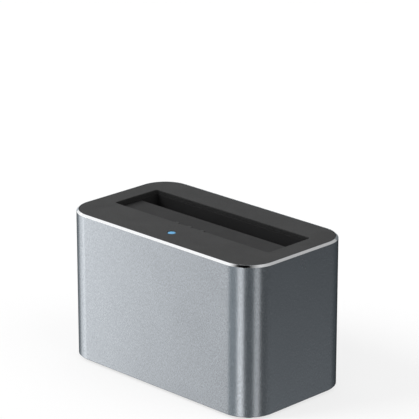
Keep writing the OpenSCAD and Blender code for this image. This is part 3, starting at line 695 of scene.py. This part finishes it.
class Finishes:
    """Materials of the dock, each made when it is first asked for."""

    def __init__(self, colours):
        self.colours = colours
        self.grain = grain_group()
        self.drift = drift_group()
        self.edge = edge_group()
        self.made = {}

    def get(self, name):
        """Material for one of the record's slots, or for the bright cut."""
        if name not in self.made:
            self.made[name] = getattr(self, name)(name)
        return self.made[name]

    def surface(
        self, name, shade, roughness, grain, depth, stretch=(1, 1, 1), fleck=0.0, shade_spread=0.05,
        rough_spread=0.04, drift=12 * MM, wear=2.0, worn_gain=1.5, polish=0.1,
    ):
        """Finish with drift, fine grain and worn edges; returns material, tree and shader."""
        material, tree, shader = new_finish(name)
        slow = place(
            tree, self.drift, Colour=rgba(shade), Colour_Spread=shade_spread,
            Roughness=roughness, Roughness_Spread=rough_spread, Size=drift,
        )
        grains = place(tree, self.grain, Size=grain, Stretch=stretch)
        gain = maths(tree, "MULTIPLY_ADD", grains["Speck"], 2 * fleck, 1 - fleck)
        tone = scaled(tree, slow["Colour"], gain)
        worn = place(tree, self.edge, Radius=WORN_REACH, Gain=wear)["Mask"]
        light = [min(1, c * worn_gain) for c in shade]
        base = blend_colour(tree, worn, tone, rgba(light))
        gloss = maths(tree, "MULTIPLY_ADD", worn, -polish, slow["Roughness"], clamp=True)
        bump = add(tree, "ShaderNodeBump", {"Height": grains["Height"], "Distance": depth, "Strength": 1.0})
        tree.links.new(base, shader.inputs["Base Color"])
        tree.links.new(gloss, shader.inputs["Roughness"])
        tree.links.new(bump.outputs["Normal"], shader.inputs["Normal"])
        return material, tree, shader

    def moulded(
        self, name, shade, roughness, grain=0.25 * MM, depth=0.012 * MM, specular=PLASTIC_SPECULAR, **more
    ):
        """Moulded plastic or rubber."""
        material, _, shader = self.surface(name, shade, roughness, grain, depth, **more)
        shader.inputs["Specular IOR Level"].default_value = specular
        return material

    def metal(self, name, shade, roughness, grain=0.3 * MM, depth=0.003 * MM, grazing=1.0, **more):
        """Bare or plated metal; grazing is the share of its reflection that is left at a low angle."""
        material, _, shader = self.surface(name, shade, roughness, grain, depth, **more)
        shader.inputs["Metallic"].default_value = 1.0
        shader.inputs["Specular Tint"].default_value = rgba([grazing] * 3)
        return material

    def anodised_grey(self, name):
        """Blasted and dyed aluminium of the sleeve, with its grain drawn out upwards."""
        return self.metal(
            name, self.colours.anodised, roughness=0.26, grain=0.32 * MM, depth=0.008 * MM,
            stretch=(1, 1, 3.2), fleck=0.12, shade_spread=0.02, rough_spread=0.02, drift=25 * MM,
            wear=1.0, worn_gain=1.15, polish=0.05, grazing=0.3,
        )

    def bright_cut(self, name):
        """Bare aluminium of the cut edge, with the cutter's fine lines along it."""
        return self.metal(
            name, self.colours.bright_cut, roughness=0.13, grain=0.05 * MM, depth=0.0004 * MM,
            stretch=(60, 60, 1), shade_spread=0.01, rough_spread=0.03, wear=0.0,
        )

    def charcoal_plastic(self, name):
        """Spark-textured plastic of the cover."""
        return self.moulded(
            name, self.colours.charcoal, roughness=0.56, grain=0.7 * MM, depth=0.04 * MM, specular=0.3,
            fleck=0.3, shade_spread=0.04, drift=18 * MM,
        )

    def black_plastic(self, name):
        """Plastic of the cradle, the flap and the base."""
        return self.moulded(name, self.colours.black, roughness=0.6, grain=0.3 * MM, specular=0.2)

    def button_plastic(self, name):
        """Satin plastic of the button."""
        return self.moulded(name, self.colours.button, roughness=0.42, grain=0.2 * MM, depth=0.006 * MM)

    def rubber(self, name):
        """Rubber of the feet."""
        return self.moulded(
            name, self.colours.rubber, roughness=0.8, grain=0.5 * MM, depth=0.03 * MM, specular=0.25
        )

    def zinc_steel(self, name):
        """Plated steel of the screws."""
        return self.metal(
            name, self.colours.zinc, roughness=0.34, grain=0.2 * MM, drift=3 * MM, shade_spread=0.1
        )

    def bright_steel(self, name):
        """Drawn steel of pin, springs and inlets."""
        return self.metal(
            name, self.colours.steel, roughness=0.24, grain=0.06 * MM, stretch=(30, 30, 1), drift=5 * MM
        )

    def light_blue(self, name):
        """Frosted window, lit from below and brightest in the middle."""
        material, tree, shader = self.surface(
            name, self.colours.light, roughness=0.32, grain=0.2 * MM, depth=0.004 * MM, wear=0.0
        )
        flat = vector_maths(tree, "MULTIPLY", on_object(tree), (1, 1, 0))["Vector"]
        reach = vector_maths(tree, "LENGTH", flat)["Value"]
        edge = spread(tree, reach, GLOW_CORE, GLOW_RIM)
        glow = rgba(self.colours.glow)
        dim = rgba([c * GLOW_DIM for c in self.colours.glow])
        tree.links.new(blend_colour(tree, edge, glow, dim), shader.inputs["Emission Color"])
        shader.inputs["Emission Strength"].default_value = GLOW_STRENGTH
        return material

    def led_white(self, name):
        """Moulded lamp body."""
        return self.moulded(name, self.colours.lamp, roughness=0.35, grain=0.1 * MM, depth=0.002 * MM)

    def board_green(self, name):
        """Solder mask over patches of copper tracks, which run one way or the other in each patch."""
        material, tree, shader = self.surface(
            name, self.colours.board, roughness=0.3, grain=0.9 * MM, depth=0.004 * MM, shade_spread=0.12
        )
        where = on_object(tree)
        patch = add(
            tree, "ShaderNodeTexVoronoi", {"Vector": where, "Scale": 1 / TRACK_PATCH}, distance="CHEBYCHEV"
        )
        draw = add(tree, "ShaderNodeSeparateColor", {"Color": patch.outputs["Color"]}).outputs["Red"]
        across = add(tree, "ShaderNodeSeparateXYZ", {"Vector": where}).outputs
        turned = maths(tree, "GREATER_THAN", draw, 0.5)
        ways = {"Factor": turned, NUMBER_A: across["X"], NUMBER_B: across["Y"]}
        way = add(tree, "ShaderNodeMix", ways).outputs[NUMBER_OUT]
        track = spread(tree, maths(tree, "PINGPONG", way, TRACK_HALF_PITCH), TRACK_START, TRACK_FULL)
        mask = shader.inputs["Base Color"].links[0].from_socket
        copper = rgba(self.colours.track)
        tree.links.new(blend_colour(tree, track, mask, copper), shader.inputs["Base Color"])
        shader.inputs["Specular IOR Level"].default_value = PLASTIC_SPECULAR
        return material

    def connector_black(self, name):
        """Glass-filled plastic of connectors and switch."""
        return self.moulded(
            name, self.colours.connector, roughness=0.46, grain=0.15 * MM, depth=0.004 * MM
        )

    def contact_gold(self, name):
        """Gold-flashed contacts."""
        return self.metal(name, self.colours.gold, roughness=0.22, grain=0.08 * MM, drift=1.5 * MM)

    def usb_blue(self, name):
        """Blue insulator of the USB inlet."""
        return self.moulded(
            name, self.colours.insulator, roughness=0.42, grain=0.15 * MM, depth=0.004 * MM
        )

    def plunger_ivory(self, name):
        """Natural plastic of the switch's plunger."""
        return self.moulded(name, self.colours.ivory, roughness=0.38, grain=0.15 * MM, depth=0.003 * MM)

    def chip_black(self, name):
        """Moulded epoxy of the chips."""
        return self.moulded(name, self.colours.epoxy, roughness=0.6, grain=0.12 * MM, depth=0.008 * MM)

    def lead_tin(self, name):
        """Tinned leads and the crystal's can."""
        return self.metal(
            name, self.colours.tin, roughness=0.36, grain=0.12 * MM, drift=1 * MM, shade_spread=0.1
        )

    def ferrite(self, name):
        """Pressed ferrite of the coils."""
        return self.moulded(
            name, self.colours.ferrite, roughness=0.66, grain=0.2 * MM, depth=0.02 * MM, drift=2 * MM
        )

    def can_aluminium(self, name):
        """Drawn cans of the capacitors."""
        return self.metal(
            name, self.colours.can, roughness=0.28, grain=0.06 * MM, stretch=(1, 1, 30), drift=4 * MM
        )

    def chip_ceramic(self, name):
        """Fired ceramic of the small parts on the board."""
        return self.moulded(
            name, self.colours.ceramic, roughness=0.5, grain=0.1 * MM, depth=0.004 * MM, shade_spread=0.15
        )


@functools.cache
def dock_finishes():
    """The dock's materials in the colours that the scene's settings give."""
    return Finishes(bpy.context.scene.dock_colours)


def finish(name):
    """Material of one finish."""
    return dock_finishes().get(name)


# Pieces

def round_off(*nodes):
    """For each node, a piece with its own shape and broken edges, which stands for it."""
    for node in nodes:
        slot = slot_of[node]
        piece = make_piece(node + "_finished", broken_mesh(node), [finish(slot)])
        stand_for(piece, body_of[node], slot, node)


class DOCK_OT_sleeve(bpy.types.Operator):
    """Builds the aluminium sleeve with its bright-cut edge and the openings in its rear wall"""

    bl_idname = "dock.sleeve"
    bl_label = "Sleeve"

    def profile(self, size):
        """Cross-section of the wall, as inset from the outside and height."""
        low, high = sleeve_low.z, sleeve_high.z
        outline = [
            (size.sole_chamfer, low), (0, low + size.sole_chamfer),
            (0, high - size.rim_chamfer), (size.rim_chamfer, high), (size.rim_wall, high),
            (size.rim_wall, high - size.rebate), (size.wall, high - size.rebate),
            (size.wall, low + size.rebate), (size.rim_wall, low + size.rebate), (size.rim_wall, low),
        ]
        return softened(outline, size.edge_radius)

    def on_chamfer(self, point, size):
        """Whether a point of the cross-section lies on the bright-cut chamfer."""
        inset, z = point
        tolerance = size.edge_radius / 3
        return abs(z - inset - sleeve_high.z + size.rim_chamfer) < tolerance

    def opening(self, outline, size, rear):
        """Cutter for one opening, flared at the outer face of the rear wall."""
        face = sleeve_high.y
        steps = (
            (face - 2 * size.wall, 0), (face - rear.countersink, 0), (face, rear.countersink),
            (face + size.wall, rear.countersink + size.wall),
        )
        return capped([at_depth(outline(grow), y) for y, grow in steps])

    def openings(self, size, rear):
        """Cutters for the USB inlet, the power inlet and the button."""
        cap = (button_low + button_high) / 2
        jack_x = (jack_low.x + jack_high.x) / 2

        def usb(grow):
            """Outline round the USB inlet."""
            return usb_outline(rear.gap + grow, rear.usb_corner + grow)

        def jack(grow):
            """Outline round the power inlet's nose."""
            return circle((jack_x, cap.z), rear.jack_radius + rear.gap + grow)

        def button(grow):
            """Outline round the button's cap."""
            return circle((cap.x, cap.z), rear.button_radius + rear.gap + grow)

        return [self.opening(outline, size, rear) for outline in (usb, jack, button)]

    def execute(self, context):
        size = context.scene.dock_housing
        bm = bmesh.new()
        profile = self.profile(size)
        loops = [at_height(sleeve_plan(size, inset), z) for inset, z in profile]
        _, rows = skin(bm, loops, closed=True)
        for row, (start, end) in zip(rows, around(profile)):
            if self.on_chamfer(start, size) and self.on_chamfer(end, size):
                for face in row:
                    face.material_index = 1
        piece = make_piece("sleeve_shell", bm, [finish("anodised_grey"), finish("bright_cut")])
        cut_away(piece, self.openings(size, context.scene.dock_rear))
        stand_for(piece, "housing", "anodised_grey", "sleeve")
        return {"FINISHED"}


class Boss(NamedTuple):
    """Post or boss under the cover, with the hole that a screw goes into."""

    middle: tuple
    radius: float
    end: float
    bore: float
    bore_depth: float


class DOCK_OT_top_cover(bpy.types.Operator):
    """Builds the plastic cover with the drive slot, its ribs, the light's hole and the posts below"""

    bl_idname = "dock.top_cover"
    bl_label = "Top cover"

    def slot_outline(self, size, grow):
        """Slot grown by a margin, with the ribs on its front edge."""
        width, depth = size.slot_width + 2 * grow, size.slot_depth + 2 * grow
        outline = rounded_rectangle(width, depth, size.slot_radius + grow, SLOT_STEPS, (0, size.slot_middle))
        front = size.slot_middle - size.slot_depth / 2
        radius = size.rib_radius - grow
        lift = math.degrees(math.asin(-grow / radius))
        third_corner_end = 3 * (SLOT_STEPS + 1)
        ribs = []
        for k in (-1, 0, 1):
            ribs += arc((k * size.rib_pitch, front), radius, 180 - lift, 2 * lift - 180, RIB_STEPS)
        return outline[:third_corner_end] + ribs + outline[third_corner_end:]

    def edges(self, scene):
        """Edges of the plate: outline, which way its rounding goes, and radius."""
        size = scene.dock_cover
        light_y = (pipe_low.y + pipe_high.y) / 2
        light_radius = scene.dock_light.radius + size.light_gap

        def rim(grow):
            """Outer edge."""
            return sleeve_plan(scene.dock_housing, size.inset - grow)

        def slot(grow):
            """Edge of the drive slot."""
            return self.slot_outline(size, grow)

        def light(grow):
            """Edge of the light's hole."""
            return circle((0, light_y), light_radius + grow)

        return (rim, -1, size.rim_radius), (slot, 1, size.slot_edge), (light, 1, size.rim_radius)

    def edge_loops(self, outline, sign, radius, under):
        """Loops up one edge of the plate and over its rounding."""
        loops = [at_height(outline(0), under)]
        for k in range(EDGE_STEPS + 1):
            turn = math.radians(90 * k / EDGE_STEPS)
            grow = sign * radius * (1 - math.cos(turn))
            loops.append(at_height(outline(grow), cover_high.z - radius * (1 - math.sin(turn))))
        return loops

    def bosses(self, size, under):
        """The screw posts in the corners and the cradle's bosses."""
        made = []
        for sx in (-1, 1):
            for y in (-size.post_y, size.post_y):
                made.append(Boss(
                    (sx * size.post_x, y), size.post_diameter / 2, cover_low.z,
                    size.post_bore / 2, size.post_bore_depth,
                ))
            for y in (size.boss_front, size.boss_back):
                made.append(Boss(
                    (sx * size.boss_x, y), size.boss_diameter / 2, under - size.boss_drop,
                    size.boss_bore / 2, size.boss_bore_depth,
                ))
        return made

    def boss_loops(self, boss, edge, under):
        """Loops down one boss and up into its hole."""
        profile = [
            (boss.radius, under), (boss.radius, boss.end), (boss.bore, boss.end),
            (boss.bore, boss.end + boss.bore_depth),
        ]
        steps = softened(profile, edge, closed=False)
        return [at_height(circle(boss.middle, radius, BOSS_STEPS), z) for radius, z in steps]

    def execute(self, context):
        scene = context.scene
        size = scene.dock_cover
        under = sleeve_high.z - scene.dock_housing.rebate
        bm = bmesh.new()
        upper, lower = [], []
        for outline, sign, radius in self.edges(scene):
            rings, _ = skin(bm, self.edge_loops(outline, sign, radius, under))
            lower += rim_edges(bm, rings[0])
            upper += rim_edges(bm, rings[-1])
        for boss in self.bosses(size, under):
            rings, _ = skin(bm, self.boss_loops(boss, size.boss_edge, under))
            lower += rim_edges(bm, rings[0])
            bm.faces.new(rings[-1])
        for border in (upper, lower):
            bmesh.ops.triangle_fill(bm, use_beauty=True, edges=border)
        piece = make_piece("top_cover_moulding", bm, [finish("charcoal_plastic")])
        stand_for(piece, "housing", "charcoal_plastic", "top_cover")
        return {"FINISHED"}


class DOCK_OT_base(bpy.types.Operator):
    """Builds the base plate and the rubber feet"""

    bl_idname = "dock.base"
    bl_label = "Base and feet"

    def foot_profile(self, size, radius, tall):
        """Half of a foot's cross-section, from the hollow in its sole to its top."""
        outline = [
            (HUB, size.hollow), (radius - size.ring - size.slope, size.hollow), (radius - size.ring, 0),
            (radius - size.edge, 0), (radius, size.edge), (radius, tall), (HUB, tall),
        ]
        return [(0, size.hollow)] + softened(outline, size.edge_radius, closed=False) + [(0, tall)]

    def execute(self, context):
        cover = context.scene.dock_cover
        round_off("base_plate")
        low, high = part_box("rubber_feet")
        profile = self.foot_profile(context.scene.dock_feet, high.x - cover.post_x, high.z - low.z)
        for corner, (sx, sy) in enumerate(((-1, -1), (1, -1), (1, 1), (-1, 1)), 1):
            foot = make_piece(
                f"rubber_foot_{corner}", lathe(profile), [finish("rubber")],
                (sx * cover.post_x, sy * cover.post_y, low.z),
            )
            stand_for(foot, "housing", "rubber", "rubber_feet")
        return {"FINISHED"}


class DOCK_OT_status_light(bpy.types.Operator):
    """Builds the light window with its stem, and the lamp on the board"""

    bl_idname = "dock.status_light"
    bl_label = "Status light"

    def profile(self, size, under):
        """Half of the window's cross-section, from the stem's end to the dome."""
        low, top = pipe_low.z, pipe_high.z
        lip_radius = (pipe_high.x - pipe_low.x) / 2
        lip_low = under - size.lip
        shares = [k / DOME_STEPS for k in range(1, DOME_STEPS)]
        dome = [(size.radius * share, top - size.dome * share ** 2) for share in shares]
        return [
            (0, low), (size.stem_radius, low), (size.stem_radius, lip_low), (lip_radius, lip_low),
            (lip_radius, under), (size.radius, under), (size.radius, top - size.edge_foot),
            (size.radius - size.edge_width, top - size.edge_top), *reversed(dome), (0, top),
        ]

    def execute(self, context):
        under = sleeve_high.z - context.scene.dock_housing.rebate
        profile = self.profile(context.scene.dock_light, under)
        middle = (0, (pipe_low.y + pipe_high.y) / 2, 0)
        piece = make_piece("light_window", lathe(profile), [finish("light_blue")], middle)
        stand_for(piece, "housing", "light_blue", "light_pipe")
        round_off("status_led")
        return {"FINISHED"}


class DOCK_OT_drive_well(bpy.types.Operator):
    """Builds the drive well and the upright connector in its floor"""

    bl_idname = "dock.drive_well"
    bl_label = "Drive well"

    def execute(self, context):
        round_off("drive_cradle", "sata_receptacle", "sata_data_contacts", "sata_power_contacts")
        return {"FINISHED"}


class DOCK_OT_dust_flap(bpy.types.Operator):
    """Builds the dust flap, its pin and its two torsion springs"""

    bl_idname = "dock.dust_flap"
    bl_label = "Dust flap"

    def torsion_path(self, size):
        """Leg under the flap, turns round the pin, and leg down the bay's front wall."""
        radius, long, leg = size.torsion_radius, size.torsion_length, size.torsion_leg
        count = round(size.torsion_turns * TURN_STEPS)
        path = [Vector((-long / 2, leg * (1 - k / LEG_STEPS), -radius)) for k in range(LEG_STEPS)]
        for i in range(count + 1):
            turn = 2 * math.pi * i / TURN_STEPS
            x = long * (i / count - 0.5)
            path.append(Vector((x, -radius * math.sin(turn), -radius * math.cos(turn))))
        path += [Vector((long / 2, -radius, -leg * k / LEG_STEPS)) for k in range(1, LEG_STEPS + 1)]
        return path

    def execute(self, context):
        size = context.scene.dock_springs
        round_off("dust_flap", "flap_pin")
        hinge = Vector(joints["flap_hinge"]["pos_m"])
        for side, x in (("left", -size.torsion_x), ("right", size.torsion_x)):
            middle = hinge + Vector((x, 0, 0))
            wire = tube(self.torsion_path(size), size.torsion_wire)
            spring = make_piece(f"flap_spring_{side}", wire, [finish("bright_steel")], middle)
            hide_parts("flap_springs")
            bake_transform(spring)
        return {"FINISHED"}


class DOCK_OT_usb_inlet(bpy.types.Operator):
    """Builds the USB inlet: folded shell, insulator and contacts"""

    bl_idname = "dock.usb_inlet"
    bl_label = "USB inlet"

    def profile(self, size):
        """Cross-section of the shell, as inset from its outside and distance behind the middle."""
        low, high = shell_low.y, shell_high.y
        outline = [
            (size.shell_fold, low), (0, low + size.shell_fold), (0, high), (size.shell_wall, high),
            (size.shell_wall, low + size.shell_wall),
        ]
        return softened(outline, size.shell_lip, closed=False)

    def execute(self, context):
        size = context.scene.dock_rear
        profile = self.profile(size)
        bm = capped([at_depth(usb_outline(-inset, size.shell_corner - inset), y) for inset, y in profile])
        piece = make_piece("usb_shell_folded", bm, [finish("bright_steel")])
        stand_for(piece, "housing", "bright_steel", "usb_shell")
        round_off("usb_insert", "usb_contacts")
        return {"FINISHED"}


class DOCK_OT_power_inlet(bpy.types.Operator):
    """Builds the power inlet: body, centre pin and leaf contact"""

    bl_idname = "dock.power_inlet"
    bl_label = "Power inlet"

    def execute(self, context):
        round_off("dc_jack", "dc_jack_pin", "dc_jack_spring")
        return {"FINISHED"}


class DOCK_OT_power_button(bpy.types.Operator):
    """Builds the power button with its switch, plunger and spring"""

    bl_idname = "dock.power_button"
    bl_label = "Power button"

    def coil_path(self, size, radius, long):
        """Turns of the button's spring along Y, from the switch to the button."""
        start, end = size.coil_wire / 2, long - size.coil_wire / 2
        count = round(size.coil_turns * TURN_STEPS)
        path = []
        for i in range(count + 1):
            turn = 2 * math.pi * i / TURN_STEPS
            y = start + (end - start) * i / count
            path.append(Vector((radius * math.cos(turn), y, radius * math.sin(turn))))
        return path

    def execute(self, context):
        size = context.scene.dock_springs
        round_off("power_switch", "switch_plunger")
        cap = dish(broken_mesh("power_button"), context.scene.dock_rear.button_dish)
        button = make_piece("power_button_finished", cap, [finish("button_plastic")])
        stand_for(button, "button", "button_plastic", "power_button")
        low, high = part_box("switch_spring")
        long = high.y - low.y
        at = Vector(((low.x + high.x) / 2, low.y, (low.z + high.z) / 2))
        path = self.coil_path(size, (high.x - low.x - size.coil_wire) / 2, long)
        spring = make_piece("button_spring", tube(path, size.coil_wire), [finish("bright_steel")], at)
        stand_for(spring, "housing", "bright_steel", "switch_spring")
        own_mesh(spring)
        return {"FINISHED"}


class DOCK_OT_board(bpy.types.Operator):
    """Builds the circuit board and the parts on it"""

    bl_idname = "dock.board"
    bl_label = "Circuit board"

    def execute(self, context):
        round_off(
            "main_board", "bridge_chip", "memory_chip", "regulator_chips", "crystal", "filter_capacitors",
            "power_inductors", "chip_leads", "chip_passives",
        )
        return {"FINISHED"}


class DOCK_OT_screws(bpy.types.Operator):
    """Builds the screws of housing, cradle and board"""

    bl_idname = "dock.screws"
    bl_label = "Screws"

    def execute(self, context):
        round_off("base_screws", "cradle_screws", "board_screws")
        return {"FINISHED"}


# Stage

class Card(NamedTuple):
    """Card of the studio, which only reflections see.

    Turn runs from left to right and rise from below to above, in degrees; 0 is level, ahead of the front.
    A level of 1 shows as white. Fade is the share of it that is lost from the lower edge to the upper.
    """

    name: str
    turn: tuple
    rise: tuple
    level: tuple
    fade: float = 0.0
    tint: tuple = (1, 1, 1)


class Lamp(NamedTuple):
    """Sun-like lamp: where it stands, and the width of its disc in degrees."""

    name: str
    place: tuple
    width: float


WHITE = (1, 1, 1, 1)
BLUISH = (0.87, 0.95, 1.0)
COOL = (0.89, 0.935, 0.97)

# The floor's half length in metres, the cells along its sides, and its roughness
FLOOR_REACH = 4
FLOOR_CELLS = 8
FLOOR_ROUGHNESS = 0.9

# The lamps, and the point that they face
LAMPS = (Lamp("key", (-0.9, -1.1, 1.3), 30), Lamp("fill", (1.2, 0.2, 1.4), 40))
LAMP_AIM = (0, 0, 0.04)

# The camera's sensor in millimetres, and the nearest distance that it sees, in metres
SENSOR_WIDTH = 36
NEAREST_SEEN = 0.05

# The cards, their distance from the dock in metres, and the cells in each
CARD_DISTANCE = 1.2
CARD_ROWS = 6
CARD_COLUMNS = 24
CARDS = (
    Card("card_left_end", (-140, -84), (-60, 10), (0.60, 0.60), 0, BLUISH),
    Card("card_left", (-84, -57), (-60, 30), (1.48, 1.48)),
    Card("card_front_left", (-57, -51), (-60, 30), (1.88, 1.58), -0.5),
    Card("card_front_fall", (-51, -42), (-60, 30), (1.20, 0.15), -1.5),
    Card("card_front_rise", (-42, -35), (-60, 30), (0.065, 0.36), -5),
    Card("card_front_edge", (-35, -27), (-60, 30), (0.40, 0.17), -5),
    Card("card_dip", (-27, 6.5), (-60, 30), (0.42, 0.34), -0.3, BLUISH),
    Card("card_front", (6.5, 27), (-50, 15), (2.42, 2.42), 0.9),
    Card("card_dark", (27, 63), (-60, 30), (0.18, 0.18), 0, BLUISH),
    Card("card_front_right", (63, 82), (-50, 15), (1.3, 1.3), 0.8),
    Card("card_right_start", (82, 108), (-60, 20), (0.148, 0.155), 0, COOL),
    Card("card_right", (108, 159), (-60, 20), (0.64, 0.77), 1.35, COOL),
    Card("card_right_end", (159, 240), (-60, 20), (0.18, 0.24), 0, BLUISH),
    Card("card_below", (-180, 180), (-90, -60), (0.30, 0.30)),
    Card("card_above_left", (-100, -47), (34, 85), (1.08, 1.08)),
    Card("card_above_front", (-47, -17), (34, 85), (1.08, 0.03)),
    Card("card_above", (-17, 47), (34, 85), (0.0, 0.0)),
    Card("card_above_corner", (47, 104), (34, 85), (0.0, 0.70)),
    Card("card_above_right", (104, 135), (20, 85), (0.70, 0.52)),
    Card("card_above_rear", (135, 208), (20, 85), (0.52, 0.42)),
)


def between(ends, share):
    """Value at a share of the way from one end to the other."""
    return ends[0] + (ends[1] - ends[0]) * share


def direction(turn, rise):
    """Unit vector turned from the front to the right and raised, by angles in radians."""
    flat = math.cos(rise)
    return Vector((math.sin(turn) * flat, -math.cos(turn) * flat, math.sin(rise)))


class DOCK_OT_stage(bpy.types.Operator):
    """Builds the floor, the light, the cards that the metal reflects, and the camera"""

    bl_idname = "dock.stage"
    bl_label = "Stage"

    def world(self, settings):
        """White surroundings that light the dock with less than they show."""
        world = bpy.data.worlds.new("studio")
        bpy.context.scene.world = world
        world.use_nodes = True
        tree = world.node_tree
        seen = tree.nodes["Background"]
        seen.inputs["Color"].default_value = WHITE
        seen.inputs["Strength"].default_value = 1.0
        ambient = add(tree, "ShaderNodeBackground", {"Color": WHITE, "Strength": settings.ambient})
        shaders = {0: looked_at(tree), 1: ambient.outputs[0], 2: seen.outputs[0]}
        mix = add(tree, "ShaderNodeMixShader", shaders)
        tree.links.new(mix.outputs[0], tree.nodes["World Output"].inputs["Surface"])

    def floor(self, settings):
        """Pale floor that keeps the dock's shadow and shows nearly white."""
        bm = bmesh.new()
        bmesh.ops.create_grid(bm, x_segments=FLOOR_CELLS, y_segments=FLOOR_CELLS, size=FLOOR_REACH)
        material, tree, shader = new_finish("pale_floor")
        shader.inputs["Base Color"].default_value = rgba(settings.floor)
        shader.inputs["Roughness"].default_value = FLOOR_ROUGHNESS
        shader.inputs["Specular IOR Level"].default_value = 0.0
        white = add(tree, "ShaderNodeEmission", {"Color": WHITE, "Strength": 1.0})
        share = maths(tree, "MULTIPLY", looked_at(tree), settings.floor_white)
        mix = add(tree, "ShaderNodeMixShader", {0: share, 1: shader.outputs[0], 2: white.outputs[0]})
        tree.links.new(mix.outputs[0], tree.nodes["Material Output"].inputs["Surface"])
        floor = make_piece("floor", bm, [material])
        floor.visible_glossy = False

    def card(self, card, material):
        """One card: a patch of a ball round the dock, with its level at each point."""
        bm = bmesh.new()
        layer = bm.verts.layers.float_color.new("level")
        grid = []
        for j in range(CARD_ROWS + 1):
            up = j / CARD_ROWS
            rise = math.radians(between(card.rise, up))
            row = []
            for i in range(CARD_COLUMNS + 1):
                along = i / CARD_COLUMNS
                turn = math.radians(between(card.turn, along))
                vert = bm.verts.new(CARD_DISTANCE * direction(turn, rise))
                level = between(card.level, along) * max(0, 1 - card.fade * up)
                vert[layer] = rgba([level * c for c in card.tint])
                row.append(vert)
            grid.append(row)
        for low, high in zip(grid, grid[1:]):
            for i in range(CARD_COLUMNS):
                bm.faces.new((low[i], low[i + 1], high[i + 1], high[i]))
        made = make_piece(card.name, bm, [material])
        made.visible_camera = False
        made.visible_diffuse = False
        made.visible_shadow = False
        made.visible_transmission = False

    def cards(self):
        """All the cards, which give off the level that their points hold."""
        material, tree, _ = new_finish("studio_card")
        level = add(tree, "ShaderNodeAttribute", attribute_name="level").outputs["Color"]
        glow = add(tree, "ShaderNodeEmission", {"Color": level, "Strength": 1.0})
        tree.links.new(glow.outputs[0], tree.nodes["Material Output"].inputs["Surface"])
        for card in CARDS:
            self.card(card, material)

    def lamp(self, lamp, power):
        """One lamp, turned towards the dock and left out of reflections."""
        data = bpy.data.lights.new(lamp.name, "SUN")
        data.energy = power
        data.angle = math.radians(lamp.width)
        made = bpy.data.objects.new(lamp.name, data)
        made.location = lamp.place
        made.visible_glossy = False
        made.rotation_euler = (Vector(LAMP_AIM) - Vector(lamp.place)).to_track_quat("-Z", "Y").to_euler()
        bpy.context.scene.collection.objects.link(made)

    def camera(self, settings):
        """Camera at the photograph's viewing angle."""
        back = direction(settings.azimuth, settings.elevation)
        right = Vector((math.cos(settings.azimuth), math.sin(settings.azimuth), 0))
        data = bpy.data.cameras.new("camera")
        data.sensor_fit = "HORIZONTAL"
        data.sensor_width = SENSOR_WIDTH
        data.lens = settings.lens
        data.clip_start = NEAREST_SEEN
        camera = bpy.data.objects.new("camera", data)
        turned = Matrix((right, back.cross(right), back)).transposed().to_4x4()
        camera.matrix_world = Matrix.Translation(settings.eye) @ turned
        bpy.context.scene.collection.objects.link(camera)
        bpy.context.scene.camera = camera

    def execute(self, context):
        settings = context.scene.dock_stage
        context.scene.view_settings.view_transform = "Standard"
        self.world(settings)
        self.floor(settings)
        self.cards()
        for lamp in LAMPS:
            self.lamp(lamp, getattr(settings, lamp.name))
        self.camera(settings)
        return {"FINISHED"}


# Add-on

PIECES = (
    DOCK_OT_sleeve, DOCK_OT_top_cover, DOCK_OT_base, DOCK_OT_status_light, DOCK_OT_drive_well,
    DOCK_OT_dust_flap, DOCK_OT_usb_inlet, DOCK_OT_power_inlet, DOCK_OT_power_button, DOCK_OT_board,
    DOCK_OT_screws, DOCK_OT_stage,
)
SETTINGS = {
    "dock_housing": HousingSizes, "dock_rear": RearSizes, "dock_cover": CoverSizes, "dock_feet": FootSizes,
    "dock_light": LightSizes, "dock_springs": SpringSizes, "dock_colours": DockColours,
    "dock_stage": StageSettings,
}


class DOCK_PT_pieces(bpy.types.Panel):
    """Lists the steps that build the dock"""

    bl_idname = "DOCK_PT_pieces"
    bl_label = "Docking Station"
    bl_space_type = "VIEW_3D"
    bl_region_type = "UI"
    bl_category = "Dock"

    def draw(self, context):
        """Buttons for the steps, and the settings below them."""
        for piece in PIECES:
            self.layout.operator(piece.bl_idname)
        for name, settings in SETTINGS.items():
            box = self.layout.box()
            for key in settings.__annotations__:
                box.prop(getattr(context.scene, name), key)


def register():
    """Makes the settings, the steps and the panel known."""
    for name, settings in SETTINGS.items():
        bpy.utils.register_class(settings)
        setattr(bpy.types.Scene, name, PointerProperty(type=settings))
    for piece in (*PIECES, DOCK_PT_pieces):
        bpy.utils.register_class(piece)


def unregister():
    """Takes them away again."""
    for piece in (DOCK_PT_pieces, *PIECES):
        bpy.utils.unregister_class(piece)
    for name, settings in SETTINGS.items():
        delattr(bpy.types.Scene, name)
        bpy.utils.unregister_class(settings)


def main():
    """Builds every piece and the stage."""
    register()
    for piece in PIECES:
        group, name = piece.bl_idname.split(".")
        getattr(getattr(bpy.ops, group), name)()


if __name__ == "__main__":
    main()
